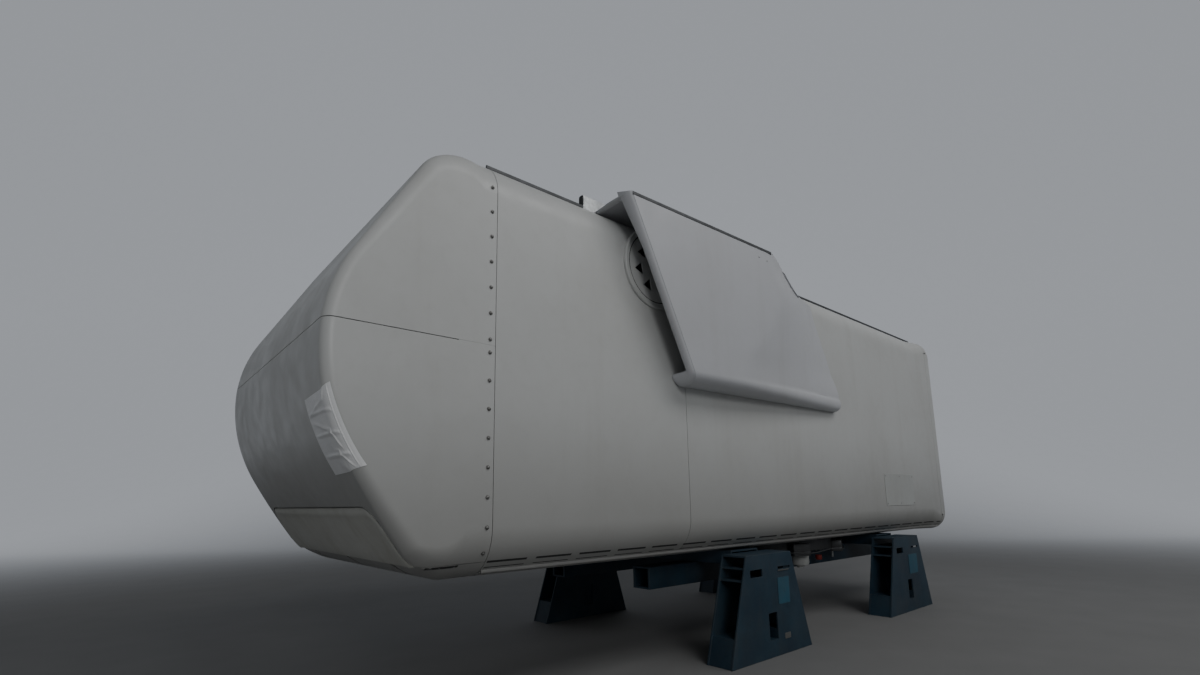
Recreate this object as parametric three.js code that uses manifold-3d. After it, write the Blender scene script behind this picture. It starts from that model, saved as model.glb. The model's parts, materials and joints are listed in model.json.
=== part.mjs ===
// Wind turbine nacelle on its four transport stands.
// Millimetres, +Z up, +X to the rotor end, +Y to the left side. The origin is on the ground
// under the middle of the whole object.
import * as THREE from 'three';
import { mergeVertices } from 'three/addons/utils/BufferGeometryUtils.js';
import Module from 'manifold-3d';

const wasm = await Module();
wasm.setup();

// Fits and clearances
const SEAT = 0.3;
const PANEL_GAP = 0.8;
const SWING_GAP = 5;

// How far a cutting body runs past the body that it cuts
const PAST = 10;

// Housing shell
const HALF_LENGTH = 5300;
const SHELL_REAR = -HALF_LENGTH;
const SHELL_FRONT = 5113;
const HALF_WIDTH = 1550;
const ROOF_Z = 4430;
const FLOOR_Z = 1080;
const WALL = 50;
const WAIST_Z = 2700;
const FRONT_CORNER_RADIUS = 300;
const ROOF_BEND_RADIUS = 550;
const REAR_FLANK_RADIUS = 1260;
const UNDERCUT_RADII = { upper: 1600, middle: 3150 };
const REAR_EDGE_RADIUS = 78;
const ROOF_EDGE_RADIUS = 350;
const FLOOR_EDGE_RADIUS = 380;
const FRONT_EDGE_RADIUS = 200;
const EDGE_BLEND_LENGTH = 400;
const LEAST_EDGE_RADIUS = 20;

// Where the shell is divided into panels
const CAP_JOINT_X = -4065;
const PANEL_JOINT_X = -1857;
const FRONT_JOINT_X = SHELL_FRONT - 330;
const CAP_SEAM_Z = 2814;
const LIP_Z = 1204;
const ROOF_JOINT_Y = HALF_WIDTH - ROOF_EDGE_RADIUS;

// Rear hatch and its hinge
const HATCH = { halfWidth: 1430, top: 1610, cornerRadius: 170, frontX: -4350 };
const HINGE = { pinRadius: 8, bore: 8.5, knuckleRadius: 15, lift: 6, length: 60, axial: 1 };
const HINGE_PLACES = { right: -1000, middle: 0, left: 1000 };

// Side scoops, measured out from the side wall
const SCOOP = {
  reach: 270, skin: 25, rearTopZ: 4452, frontTopZ: 4507, bottom: 2745,
  rearTopX: -2814, rearFootX: -2039, rearFootZ: 2883,
  lipReach: 180, lipDepth: 30, topFrontX: -527, topFadeLength: 780, topEndZ: 4180, tipX: 1215,
};
// The scoop's front edge: how far it lies behind the tip at its top and at its rounded foot
const SCOOP_FRONT = { topSetback: 500, straightZ: 3000, topZ: 4400, footSetback: 330, footZ: 2900 };
// How far the scoop stands out at its front edge, and where it starts to sink towards that
const SCOOP_FADE = {
  tipReach: 85, topReach: 25, footStartX: -1150, highStartX: -350, highZ: 4000,
  topStartX: -600, power: 1.15,
};
// How far the scoop's top and underside run into the housing before they are cut to its surface
const SCOOP_ROOT = { top: -420, frontTop: -150, foot: -90, depth: 200 };
// A short upright plate on the lip's inner end stands above the scoop's top
const LIP_HORN = { rise: 56, foot: 120, gap: 6 };
const SCOOP_RAIL = { width: 20, height: 34, setback: 10 };

// Round vents behind the scoops
const VENT = {
  x: -2275, z: 3912, radius: 412, bore: 358, proud: 25, root: 120, holeDepth: 200, guard: 12, guardDepth: 8,
};
const GUARD = { holes: 7, pitchRadius: 210, holeRadius: 70, firstDegrees: 192, cornerDegrees: 190 };

// Rails on the roof
const EDGE_RAIL = { outer: 1335, width: 25, top: 4452, rearX: [-4050, -3290], frontX: [900, 4720] };
const ROOF_RAIL = { outer: 1330, width: 60, top: 4560, x: [-2995, -400] };
const RAIL_ROOT = 120;

// Plain cover on the side wall
const SIDE_COVER = { x: [2613, 3663], z: [1500, 1980], thickness: 6 };

// Rotor end
const SHAFT_Z = 2850;
const COLLAR = { outer: 850, inner: 700, proud: 60, root: 70 };
const ROTOR_FLANGE = { back: 4700, hubRadius: 620, plateThickness: 270, hubStep: 20 };

// Underframe
const YAW_RING = { x: 1363, outer: 1150, inner: 950, bottom: 930 };
const GIRDER = { outer: 867, inner: 617, bottom: 700, x: [-1760, 3563] };
const GIRDER_PLATE = { flange: 20, web: 30 };
const BEARER = { width: 500, plate: 20 };

// Transport stands
const STAND = {
  outer: 1680, thickness: 310, baseLength: 1490, topLength: 840, height: 1050, plate: 20,
  baseBox: 270, rearX: -1497, frontX: 2091,
};
const STAND_X = { rear: STAND.rearX + STAND.baseLength / 2, front: STAND.frontX + STAND.baseLength / 2 };
const STAND_WEBS = [790, 910];
const STAND_INSET = { base: 8, web: 15, side: 1 };
// Holes through the wide faces of a stand, as [from, to] along X from its middle and as heights
const STAND_HOLES = [
  { x: [-360, -145], z: [825, 900] },
  { x: [150, 390], z: [875, 900] },
  { x: [-70, 85], z: [170, 440] },
];

// A closed geometry becomes a solid that can be joined and cut.
function solidOf(geometry) {
  const bare = geometry.clone();
  bare.deleteAttribute('normal');
  bare.deleteAttribute('uv');
  const merged = mergeVertices(bare, 1e-4);
  const index = merged.index.array;
  const position = merged.attributes.position.array;
  const triangles = new Uint32Array(index);
  let volume = 0;
  const a = new THREE.Vector3();
  const b = new THREE.Vector3();
  const c = new THREE.Vector3();
  for (let i = 0; i < triangles.length; i += 3) {
    a.fromArray(position, 3 * triangles[i]);
    b.fromArray(position, 3 * triangles[i + 1]);
    c.fromArray(position, 3 * triangles[i + 2]);
    volume += a.dot(b.cross(c));
  }
  if (volume < 0) {
    for (let i = 0; i < triangles.length; i += 3) {
      const swap = triangles[i];
      triangles[i] = triangles[i + 1];
      triangles[i + 1] = swap;
    }
  }
  const vertProperties = new Float32Array(position);
  return new wasm.Manifold(new wasm.Mesh({ numProp: 3, vertProperties, triVerts: triangles }));
}

// A solid becomes a geometry again.
function geometryOf(solid) {
  const mesh = solid.getMesh();
  const geometry = new THREE.BufferGeometry();
  geometry.setAttribute('position', new THREE.BufferAttribute(new Float32Array(mesh.vertProperties), 3));
  geometry.setIndex(new THREE.BufferAttribute(new Uint32Array(mesh.triVerts), 1));
  geometry.computeVertexNormals();
  return geometry;
}

function joined(...solids) {
  return solids.reduce((whole, solid) => whole.add(solid));
}

function box([x0, x1], [y0, y1], [z0, z1]) {
  const geometry = new THREE.BoxGeometry(x1 - x0, y1 - y0, z1 - z0);
  geometry.translate((x0 + x1) / 2, (y0 + y1) / 2, (z0 + z1) / 2);
  return solidOf(geometry);
}

// A flat outline in the XZ plane, drawn as [x, z], is extruded from one Y to another.
function plateAlongY(shape, [y0, y1]) {
  const options = { depth: y1 - y0, bevelEnabled: false, curveSegments: 8 };
  const geometry = new THREE.ExtrudeGeometry(shape, options);
  geometry.rotateX(Math.PI / 2);
  geometry.translate(0, y1, 0);
  return solidOf(geometry);
}

// A flat outline in the YZ plane, drawn as [y, z], is extruded from one X to another.
function plateAlongX(shape, [x0, x1], curveSegments = 8) {
  const geometry = new THREE.ExtrudeGeometry(shape, { depth: x1 - x0, bevelEnabled: false, curveSegments });
  const turn = new THREE.Matrix4().set(0, 0, 1, 0, 1, 0, 0, 0, 0, 1, 0, 0, 0, 0, 0, 1);
  geometry.applyMatrix4(turn);
  geometry.translate(x0, 0, 0);
  return solidOf(geometry);
}

function polygon(points) {
  return new THREE.Shape(points.map(([u, v]) => new THREE.Vector2(u, v)));
}

// A round bar along Y.
function barAlongY(x, z, radius, [y0, y1], sides = 16) {
  const geometry = new THREE.CylinderGeometry(radius, radius, y1 - y0, sides);
  geometry.translate(x, (y0 + y1) / 2, z);
  return solidOf(geometry);
}

// A round bar along X.
function barAlongX(y, z, radius, [x0, x1], sides = 48) {
  const geometry = new THREE.CylinderGeometry(radius, radius, x1 - x0, sides);
  geometry.rotateZ(Math.PI / 2);
  geometry.translate((x0 + x1) / 2, y, z);
  return solidOf(geometry);
}

// A round bar along Z.
function barAlongZ(x, y, radius, [z0, z1], sides = 48) {
  const geometry = new THREE.CylinderGeometry(radius, radius, z1 - z0, sides);
  geometry.rotateX(Math.PI / 2);
  geometry.translate(x, y, (z0 + z1) / 2);
  return solidOf(geometry);
}

// Triangles that fill a closed outline, each in the outline's own turning direction.
function endTriangles(points) {
  const outline = points.map(([u, v]) => new THREE.Vector2(u, v));
  const area = THREE.ShapeUtils.area(outline);
  return THREE.ShapeUtils.triangulateShape(outline, []).map(([a, b, c]) => {
    const own = THREE.ShapeUtils.area([outline[a], outline[b], outline[c]]);
    return own * area < 0 ? [b, a, c] : [a, b, c];
  });
}

// The right side is modelled, and the left side is its mirror image.
function mirrored(solid) {
  return solid.mirror([0, 1, 0]);
}

// Side view of the housing: a path of lines and arcs that starts at the rear waist, goes up the
// flank, along the roof, down the front, back along the floor and up the undercut. Each point
// keeps its inward normal and the radius of the rounded edge beside it.
function housingPath(inset) {
  const rad = THREE.MathUtils.degToRad;
  const cos = (degrees) => Math.cos(rad(degrees));
  const sin = (degrees) => Math.sin(rad(degrees));
  const { upper, middle } = UNDERCUT_RADII;
  const lower = (WAIST_Z - FLOOR_Z - upper * sin(30) - middle * (sin(40) - sin(30))) / (1 - sin(40));
  const flankHeight = ROOF_Z - WAIST_Z - REAR_FLANK_RADIUS * sin(30) - ROOF_BEND_RADIUS * (1 - cos(60));
  const flank = flankHeight / sin(60);
  const flankDepth = REAR_FLANK_RADIUS * (1 - cos(30)) + flank * cos(60) + ROOF_BEND_RADIUS * sin(60);
  const undercutDepth = upper * (1 - cos(30)) + middle * (cos(30) - cos(40)) + lower * cos(40);
  const roofRear = SHELL_REAR + flankDepth;
  const floorRear = SHELL_REAR + undercutDepth;
  const frontStart = SHELL_FRONT - FRONT_CORNER_RADIUS;
  const roofLength = frontStart - roofRear - 2 * EDGE_BLEND_LENGTH;
  const floorLength = frontStart - floorRear - EDGE_BLEND_LENGTH;
  const frontHeight = ROOF_Z - FLOOR_Z - 2 * FRONT_CORNER_RADIUS;
  const segments = [
    { turn: 30, radius: REAR_FLANK_RADIUS, steps: 4, edge: REAR_EDGE_RADIUS },
    { length: flank, edge: 1.6 * REAR_EDGE_RADIUS },
    { turn: 60, radius: ROOF_BEND_RADIUS, steps: 6, edge: ROOF_EDGE_RADIUS },
    { length: EDGE_BLEND_LENGTH, edge: ROOF_EDGE_RADIUS },
    { length: roofLength, edge: ROOF_EDGE_RADIUS },
    { length: EDGE_BLEND_LENGTH, edge: 1.2 * FRONT_EDGE_RADIUS },
    { turn: 90, radius: FRONT_CORNER_RADIUS, steps: 5, edge: FRONT_EDGE_RADIUS },
    { length: frontHeight, edge: FRONT_EDGE_RADIUS },
    { turn: 90, radius: FRONT_CORNER_RADIUS, steps: 5, edge: 1.2 * FRONT_EDGE_RADIUS },
    { length: EDGE_BLEND_LENGTH, edge: FLOOR_EDGE_RADIUS },
    { length: floorLength, edge: FLOOR_EDGE_RADIUS },
    { turn: 50, radius: lower, steps: 6, edge: 2 * REAR_EDGE_RADIUS },
    { turn: 10, radius: middle, steps: 2, edge: REAR_EDGE_RADIUS },
    { turn: 30, radius: upper, steps: 4, edge: REAR_EDGE_RADIUS },
  ];
  const path = [];
  let x = SHELL_REAR + inset;
  let z = WAIST_Z;
  let heading = Math.PI / 2;
  let edge = REAR_EDGE_RADIUS;
  for (const segment of segments) {
    const steps = segment.steps ?? 1;
    const startHeading = heading;
    const startEdge = edge;
    const radius = segment.radius ? segment.radius - inset : 0;
    const centreX = x + radius * Math.sin(heading);
    const centreZ = z - radius * Math.cos(heading);
    for (let step = 1; step <= steps; step += 1) {
      if (segment.radius) {
        heading = startHeading - rad(segment.turn) * step / steps;
        x = centreX - radius * Math.sin(heading);
        z = centreZ + radius * Math.cos(heading);
      } else {
        x += segment.length * Math.cos(heading);
        z += segment.length * Math.sin(heading);
      }
      edge = startEdge + (segment.edge - startEdge) * step / steps;
      const inward = [Math.sin(heading), -Math.cos(heading)];
      path.push({ x, z, inward, edge: Math.max(edge - inset, LEAST_EDGE_RADIUS) });
    }
  }
  return path;
}

// The housing as one closed body: the side view swept across the width, with rounded edges.
function housingBody(inset) {
  const path = housingPath(inset);
  const halfWidth = HALF_WIDTH - inset;
  const arcSteps = 4;
  const rows = [];
  for (const side of [-1, 1]) {
    for (let step = 0; step <= arcSteps; step += 1) {
      const along = side < 0 ? step : arcSteps - step;
      const angle = (Math.PI / 2) * along / arcSteps;
      rows.push(path.map(({ x, z, inward, edge }) => {
        const drop = edge * (1 - Math.sin(angle));
        const y = side * (halfWidth - edge * (1 - Math.cos(angle)));
        return [x + drop * inward[0], y, z + drop * inward[1]];
      }));
    }
  }
  const count = path.length;
  const positions = rows.flat(2);
  const index = [];
  for (let row = 0; row + 1 < rows.length; row += 1) {
    for (let k = 0; k < count; k += 1) {
      const next = (k + 1) % count;
      const a = row * count + k;
      const b = row * count + next;
      index.push(a, b, b + count, a, b + count, a + count);
    }
  }
  const last = (rows.length - 1) * count;
  const flat = ([x, , z]) => [x, z];
  for (const [a, b, c] of endTriangles(rows[0].map(flat))) index.push(b, a, c);
  for (const [a, b, c] of endTriangles(rows.at(-1).map(flat))) index.push(last + a, last + b, last + c);
  const geometry = new THREE.BufferGeometry();
  geometry.setAttribute('position', new THREE.Float32BufferAttribute(positions, 3));
  geometry.setIndex(index);
  return solidOf(geometry);
}

const housingOuter = housingBody(0);
const housingSeat = housingBody(-SEAT);
const housingShell = housingOuter.subtract(housingBody(WALL));

// Ranges that hold the whole housing
const ALL_Y = [-2 * HALF_WIDTH, 2 * HALF_WIDTH];
const ALL_Z = [0, 2 * ROOF_Z];
const REAR_X = [SHELL_REAR - PAST, CAP_JOINT_X - PANEL_GAP / 2];
const HALF_GAP = PANEL_GAP / 2;

// The outline of the hatch, or of its opening when it is widened by the swing clearance.
function hatchOutline(widen) {
  const half = HATCH.halfWidth + widen;
  const top = HATCH.top + widen;
  const radius = HATCH.cornerRadius + widen;
  const foot = LIP_Z + SWING_GAP / 2 - widen;
  const shape = new THREE.Shape();
  shape.moveTo(-half, foot);
  shape.lineTo(half, foot);
  shape.lineTo(half, top - radius);
  shape.absarc(half - radius, top - radius, radius, 0, Math.PI / 2, false);
  shape.lineTo(-half + radius, top);
  shape.absarc(-half + radius, top - radius, radius, Math.PI / 2, Math.PI, false);
  return shape;
}

// The hinge axis lies just outside the shell, along the lower edge of the hatch.
function hingeAxis() {
  const path = housingPath(0);
  const below = path.findIndex((point, k) => k > 0 && point.x < 0 && point.z >= LIP_Z && path[k - 1].z < LIP_Z
    && path[k - 1].x < 0);
  const a = path[below - 1];
  const b = path[below];
  const t = (LIP_Z - a.z) / (b.z - a.z);
  return {
    x: a.x + t * (b.x - a.x) - HINGE.lift * a.inward[0],
    z: LIP_Z - HINGE.lift * a.inward[1],
  };
}

const AXIS = hingeAxis();

// Each hinge has a knuckle of the hatch between two knuckles of the floor panel.
function hingeSpans(place) {
  const y = HINGE_PLACES[place];
  const half = HINGE.length / 2;
  return {
    hatch: [[y - half, y + half]],
    floor: [
      [y - half - HINGE.axial - HINGE.length, y - half - HINGE.axial],
      [y + half + HINGE.axial, y + half + HINGE.axial + HINGE.length],
    ],
  };
}

function knuckle(span) {
  return barAlongY(AXIS.x, AXIS.z, HINGE.knuckleRadius, span);
}

function withKnuckles(panel, own, other) {
  let solid = panel;
  for (const place of Object.keys(HINGE_PLACES)) {
    const spans = hingeSpans(place);
    for (const [y0, y1] of spans[other]) {
      const room = [y0 - HINGE.axial, y1 + HINGE.axial];
      solid = solid.subtract(barAlongY(AXIS.x, AXIS.z, HINGE.knuckleRadius + SWING_GAP, room));
    }
    for (const span of spans[own]) solid = solid.add(knuckle(span));
    const reach = 2 * HINGE.length;
    const middle = HINGE_PLACES[place];
    solid = solid.subtract(barAlongY(AXIS.x, AXIS.z, HINGE.bore, [middle - reach, middle + reach]));
  }
  return solid;
}

function rearCapUpper() {
  return housingShell.intersect(box(REAR_X, ALL_Y, [CAP_SEAM_Z + HALF_GAP, ALL_Z[1]]));
}

function rearCapLower() {
  const cap = housingShell.intersect(box(REAR_X, ALL_Y, [LIP_Z + HALF_GAP, CAP_SEAM_Z - HALF_GAP]));
  return cap.subtract(plateAlongX(hatchOutline(SWING_GAP), [SHELL_REAR - PAST, HATCH.frontX + SWING_GAP]));
}

function rearFloorPanel() {
  const strip = housingShell.intersect(box(REAR_X, ALL_Y, [ALL_Z[0], LIP_Z - HALF_GAP]));
  const edge = box(
    [SHELL_REAR - PAST, HATCH.frontX + SWING_GAP],
    [-HATCH.halfWidth - SWING_GAP, HATCH.halfWidth + SWING_GAP],
    [LIP_Z - SWING_GAP / 2, LIP_Z + PAST],
  );
  return withKnuckles(strip.subtract(edge), 'floor', 'hatch');
}

function rearHatch() {
  const leaf = housingShell.intersect(plateAlongX(hatchOutline(0), [SHELL_REAR - PAST, HATCH.frontX]));
  return withKnuckles(leaf, 'hatch', 'floor');
}

function hingePin(place) {
  const reach = 1.5 * HINGE.length + HINGE.axial;
  const y = HINGE_PLACES[place];
  return barAlongY(AXIS.x, AXIS.z, HINGE.pinRadius, [y - reach, y + reach]);
}

function roofPanel([x0, x1]) {
  const y = [-ROOF_JOINT_Y + HALF_GAP, ROOF_JOINT_Y - HALF_GAP];
  return housingShell.intersect(box([x0 + HALF_GAP, x1 - HALF_GAP], y, [WAIST_Z, ALL_Z[1]]));
}

function sideWall([x0, x1]) {
  const x = [x0 + HALF_GAP, x1 - HALF_GAP];
  const low = box(x, [ALL_Y[0], 0], [LIP_Z + HALF_GAP, WAIST_Z]);
  const high = box(x, [ALL_Y[0], -ROOF_JOINT_Y - HALF_GAP], [WAIST_Z, ALL_Z[1]]);
  return housingShell.intersect(low.add(high));
}

function ventHole() {
  const y = [-HALF_WIDTH - PAST, -HALF_WIDTH + VENT.holeDepth];
  return barAlongY(VENT.x, VENT.z, VENT.radius + SEAT, y, 32);
}

function floorPanel([x0, x1]) {
  return housingShell.intersect(box([x0 + HALF_GAP, x1 - HALF_GAP], ALL_Y, [ALL_Z[0], LIP_Z - HALF_GAP]));
}

function frontWall() {
  const wall = housingShell.intersect(box([FRONT_JOINT_X + HALF_GAP, SHELL_FRONT + PAST], ALL_Y, ALL_Z));
  const hole = [SHELL_FRONT - COLLAR.root - PAST, SHELL_FRONT + COLLAR.proud + PAST];
  return wall.subtract(barAlongX(0, SHAFT_Z, COLLAR.outer + SEAT, hole));
}

function frontCollar() {
  const span = [SHELL_FRONT - COLLAR.root, SHELL_FRONT + COLLAR.proud];
  return barAlongX(0, SHAFT_Z, COLLAR.outer, span).subtract(
    barAlongX(0, SHAFT_Z, COLLAR.inner, [span[0] - PAST, span[1] + PAST]),
  );
}

function rotorFlange() {
  const face = HALF_LENGTH;
  const { back, hubRadius, hubStep, plateThickness } = ROTOR_FLANGE;
  const plate = barAlongX(0, SHAFT_Z, COLLAR.inner - SEAT, [face - plateThickness, face]);
  const shaft = barAlongX(0, SHAFT_Z, hubRadius, [back, face - hubStep]);
  return plate.add(shaft);
}

// Smooth step from 0 to 1.
function ease(t) {
  const s = limited(t);
  return s * s * (3 - 2 * s);
}

function between(a, b, t) {
  return a + (b - a) * t;
}

function limited(t) {
  return Math.min(Math.max(t, 0), 1);
}

// The scoop's rear edge leans back towards its top.
function scoopRearX(z) {
  const lean = (SCOOP.rearTopX - SCOOP.rearFootX) / (SCOOP.rearTopZ - SCOOP.rearFootZ);
  return SCOOP.rearFootX + (z - SCOOP.rearFootZ) * lean;
}

// Its front edge lies back towards the roof and is rounded off at the foot.
function scoopFrontX(z) {
  const high = ease((z - SCOOP_FRONT.straightZ) / (SCOOP_FRONT.topZ - SCOOP_FRONT.straightZ));
  const low = Math.max(SCOOP_FRONT.footZ - z, 0) / (SCOOP_FRONT.footZ - SCOOP.bottom);
  return SCOOP.tipX - SCOOP_FRONT.topSetback * high - SCOOP_FRONT.footSetback * low * low;
}

// Its top rises slowly to the front and then sinks into the roof edge.
function scoopTopZ(x) {
  const along = limited((x - SCOOP.rearTopX) / (SCOOP.topFrontX - SCOOP.rearTopX));
  const top = between(SCOOP.rearTopZ, SCOOP.frontTopZ, along);
  return between(top, SCOOP.topEndZ, ease((x - SCOOP.topFrontX) / SCOOP.topFadeLength));
}

// How far its side stands out from the wall.
function scoopReach(x, z) {
  const { footZ, straightZ, topZ } = SCOOP_FRONT;
  const { footStartX, highStartX, topStartX, highZ, tipReach, topReach, power } = SCOOP_FADE;
  const lowStart = between(footStartX, highStartX, ease((z - footZ) / (highZ - footZ)));
  const start = between(lowStart, topStartX, ease((z - highZ) / (topZ - highZ)));
  const end = between(tipReach, topReach, ease((z - straightZ) / (topZ - straightZ)));
  const fade = limited((x - start) / (scoopFrontX(z) - start)) ** power;
  return between(SCOOP.reach, end, fade);
}

// One cross-section of the scoop, as [x, out from the wall, z], from the roof down to the wall.
// u runs from the rear edge (0) to the front edge (1). The skin is taken off all round, and the
// section reaches out no further than the limit.
function scoopSection(u, skin = 0, rearShift = 0, limit = Infinity) {
  const rows = 9;
  const curve = 6;
  const xAt = (z) => between(scoopRearX(z) + rearShift, scoopFrontX(z), u);
  const outAt = (x, z) => Math.min(scoopReach(x, z) - skin, limit);
  const topX = xAt(SCOOP.rearTopZ);
  const top = scoopTopZ(topX) - skin;
  const sunk = ease((topX - SCOOP.topFrontX) / SCOOP.topFadeLength);
  const root = between(SCOOP_ROOT.top, SCOOP_ROOT.frontTop, sunk);
  const points = [[topX, root, top], [topX, outAt(topX, top), top]];
  const lowReach = outAt(xAt(SCOOP.bottom), SCOOP_FRONT.footZ);
  const radius = lowReach / 2;
  const turnZ = SCOOP.bottom + skin + radius;
  for (let row = 1; row < rows; row += 1) {
    const z = between(top, turnZ, row / rows);
    const x = xAt(z);
    points.push([x, outAt(x, z), z]);
  }
  for (let step = 0; step <= curve; step += 1) {
    const angle = Math.PI * step / curve;
    const z = turnZ - radius * Math.sin(angle);
    points.push([xAt(z), radius + radius * Math.cos(angle), z]);
  }
  points.push([xAt(turnZ), SCOOP_ROOT.foot, turnZ]);
  const rootFoot = top - SCOOP_ROOT.depth;
  points.push([xAt(rootFoot), root, rootFoot]);
  return points;
}

// Sections of equal count are joined into one closed body.
function lofted(sections) {
  const count = sections[0].length;
  const positions = sections.flat().flatMap(([x, out, z]) => [x, -HALF_WIDTH - out, z]);
  const index = [];
  for (let i = 0; i + 1 < sections.length; i += 1) {
    for (let k = 0; k < count; k += 1) {
      const next = (k + 1) % count;
      const a = i * count + k;
      const b = i * count + next;
      index.push(a, b + count, b, a, a + count, b + count);
    }
  }
  const last = (sections.length - 1) * count;
  const flat = ([, out, z]) => [out, z];
  for (const [a, b, c] of endTriangles(sections[0].map(flat))) index.push(a, b, c);
  for (const [a, b, c] of endTriangles(sections.at(-1).map(flat))) index.push(last + b, last + a, last + c);
  const geometry = new THREE.BufferGeometry();
  geometry.setAttribute('position', new THREE.Float32BufferAttribute(positions, 3));
  geometry.setIndex(index);
  return solidOf(geometry);
}

// The lip's inner end rises above the scoop's top as a thin upright plate.
function lipHorn() {
  const outer = SCOOP.reach - SCOOP_RAIL.width - LIP_HORN.gap;
  const inner = SCOOP.reach - SCOOP.lipReach;
  const foot = SCOOP.rearTopZ - LIP_HORN.foot;
  const slope = LIP_HORN.rise / SCOOP.lipReach;
  const corners = [
    [outer, foot],
    [outer, SCOOP.rearTopZ + slope * (SCOOP.reach - outer)],
    [inner, SCOOP.rearTopZ + LIP_HORN.rise],
    [inner, foot],
  ];
  const face = (shift) => corners.map(([out, z]) => [scoopRearX(z) + shift, out, z]);
  return lofted([face(0), face(SCOOP.lipDepth)]);
}

const SCOOP_COLUMNS = 12;

// A hollow cover that is open to the rear between its lip and the wall.
function scoopCover() {
  const outer = [];
  const cavity = [];
  for (let i = 0; i <= SCOOP_COLUMNS; i += 1) {
    const u = i / SCOOP_COLUMNS;
    outer.push(scoopSection(u));
    if (i < SCOOP_COLUMNS) cavity.push(scoopSection(u, SCOOP.skin, i === 0 ? SCOOP.lipDepth : 0));
  }
  const mouthReach = SCOOP.reach - SCOOP.lipReach;
  const mouth = [-PAST, SCOOP.lipDepth + PAST].map((shift) => scoopSection(0, SCOOP.skin, shift, mouthReach));
  return lofted(outer)
    .add(lipHorn())
    .subtract(lofted(cavity))
    .subtract(lofted(mouth))
    .subtract(scoopTopRail(SEAT))
    .subtract(housingSeat);
}

// The line along the scoop's top, as [x, z], at the columns of its surface.
function scoopTopLine() {
  const line = [];
  for (let i = 0; i <= SCOOP_COLUMNS; i += 1) {
    const x = between(scoopRearX(SCOOP.rearTopZ), scoopFrontX(SCOOP.rearTopZ), i / SCOOP_COLUMNS);
    line.push([x, scoopTopZ(x) + SEAT]);
  }
  return line;
}

// The dark strip lies in a rebate along the scoop's upper outer edge.
function scoopTopRail(widen) {
  const outer = -HALF_WIDTH - SCOOP.reach;
  const rear = SCOOP.rearTopX + SCOOP_RAIL.setback - widen;
  const front = SCOOP.topFrontX + widen;
  const foot = SCOOP.rearTopZ - SCOOP_RAIL.height - widen;
  const top = SCOOP.rearTopZ + (widen > 0 ? PAST : 0);
  const rise = SCOOP.frontTopZ - SCOOP.rearTopZ;
  const side = polygon([[rear, foot], [front, foot + rise], [front, top + rise], [rear, top]]);
  return plateAlongY(side, [outer - widen, outer + SCOOP_RAIL.width + widen]);
}

// A short duct through the wall, closed by a guard plate with triangular holes.
function ventGuard() {
  const face = -HALF_WIDTH - VENT.proud;
  const root = -HALF_WIDTH + VENT.root;
  const duct = barAlongY(VENT.x, VENT.z, VENT.radius, [face, root], 32).subtract(
    barAlongY(VENT.x, VENT.z, VENT.bore, [face - PAST, root + PAST], 32),
  );
  const guardFace = face + VENT.guardDepth;
  const guardBack = guardFace + VENT.guard;
  let plate = barAlongY(VENT.x, VENT.z, VENT.bore + PAST, [guardFace, guardBack], 32);
  const point = (x, z, radius, degrees) => {
    const angle = THREE.MathUtils.degToRad(degrees);
    return [x + radius * Math.cos(angle), z + radius * Math.sin(angle)];
  };
  for (let i = 0; i < GUARD.holes; i += 1) {
    const [x, z] = point(VENT.x, VENT.z, GUARD.pitchRadius, GUARD.firstDegrees + (360 * i) / GUARD.holes);
    const corners = [0, 120, 240].map((turn) => point(x, z, GUARD.holeRadius, GUARD.cornerDegrees + turn));
    plate = plate.subtract(plateAlongY(polygon(corners), [guardFace - PAST, guardBack + PAST]));
  }
  return duct.add(plate);
}

// A bar on the rounded roof edge, cut to the shell under it.
function railOnRoofEdge(x, { outer, width, top }) {
  return box(x, [-outer, -outer + width], [ROOF_Z - RAIL_ROOT, top]).subtract(housingSeat);
}

// The rail beside the scoop stands on the roof edge and, along the scoop, on the scoop's top.
function roofRail() {
  const rail = railOnRoofEdge(ROOF_RAIL.x, ROOF_RAIL);
  const line = scoopTopLine();
  const rear = line[0][0] - PAST;
  const front = line.at(-1)[0];
  const foot = SCOOP.topEndZ - SCOOP_ROOT.depth;
  const under = polygon([[rear, foot], [front, foot], ...line.reverse(), [rear, SCOOP.rearTopZ + SEAT]]);
  return rail.subtract(plateAlongY(under, [-HALF_WIDTH - SCOOP.reach, 0]));
}

function sideCover() {
  const outer = -HALF_WIDTH - SEAT;
  return box(SIDE_COVER.x, [outer - SIDE_COVER.thickness, outer], SIDE_COVER.z);
}

function yawRing() {
  const z = [YAW_RING.bottom, FLOOR_Z - SEAT];
  return barAlongZ(YAW_RING.x, 0, YAW_RING.outer, z).subtract(
    barAlongZ(YAW_RING.x, 0, YAW_RING.inner, [z[0] - PAST, z[1] + PAST]),
  );
}

// A box girder of plates: two flanges and two webs, open at its ends.
function girder() {
  const top = YAW_RING.bottom - SEAT;
  const y = [-GIRDER.outer, -GIRDER.inner];
  const bar = box(GIRDER.x, y, [GIRDER.bottom, top]);
  const hollow = box(
    [GIRDER.x[0] - PAST, GIRDER.x[1] + PAST],
    [y[0] + GIRDER_PLATE.web, y[1] - GIRDER_PLATE.web],
    [GIRDER.bottom + GIRDER_PLATE.flange, top - GIRDER_PLATE.flange],
  );
  return bar.subtract(hollow);
}

// A flat box beam across the girders, from stand to stand.
function crossBearer(centreX) {
  const reach = STAND.outer - STAND.thickness - SEAT;
  const x = [centreX - BEARER.width / 2, centreX + BEARER.width / 2];
  const z = [YAW_RING.bottom, FLOOR_Z - SEAT];
  const bar = box(x, [-reach, reach], z);
  const hollow = box(
    [x[0] + BEARER.plate, x[1] - BEARER.plate],
    [-reach - PAST, reach + PAST],
    [z[0] + BEARER.plate, z[1] - BEARER.plate],
  );
  return bar.subtract(hollow);
}

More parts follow.
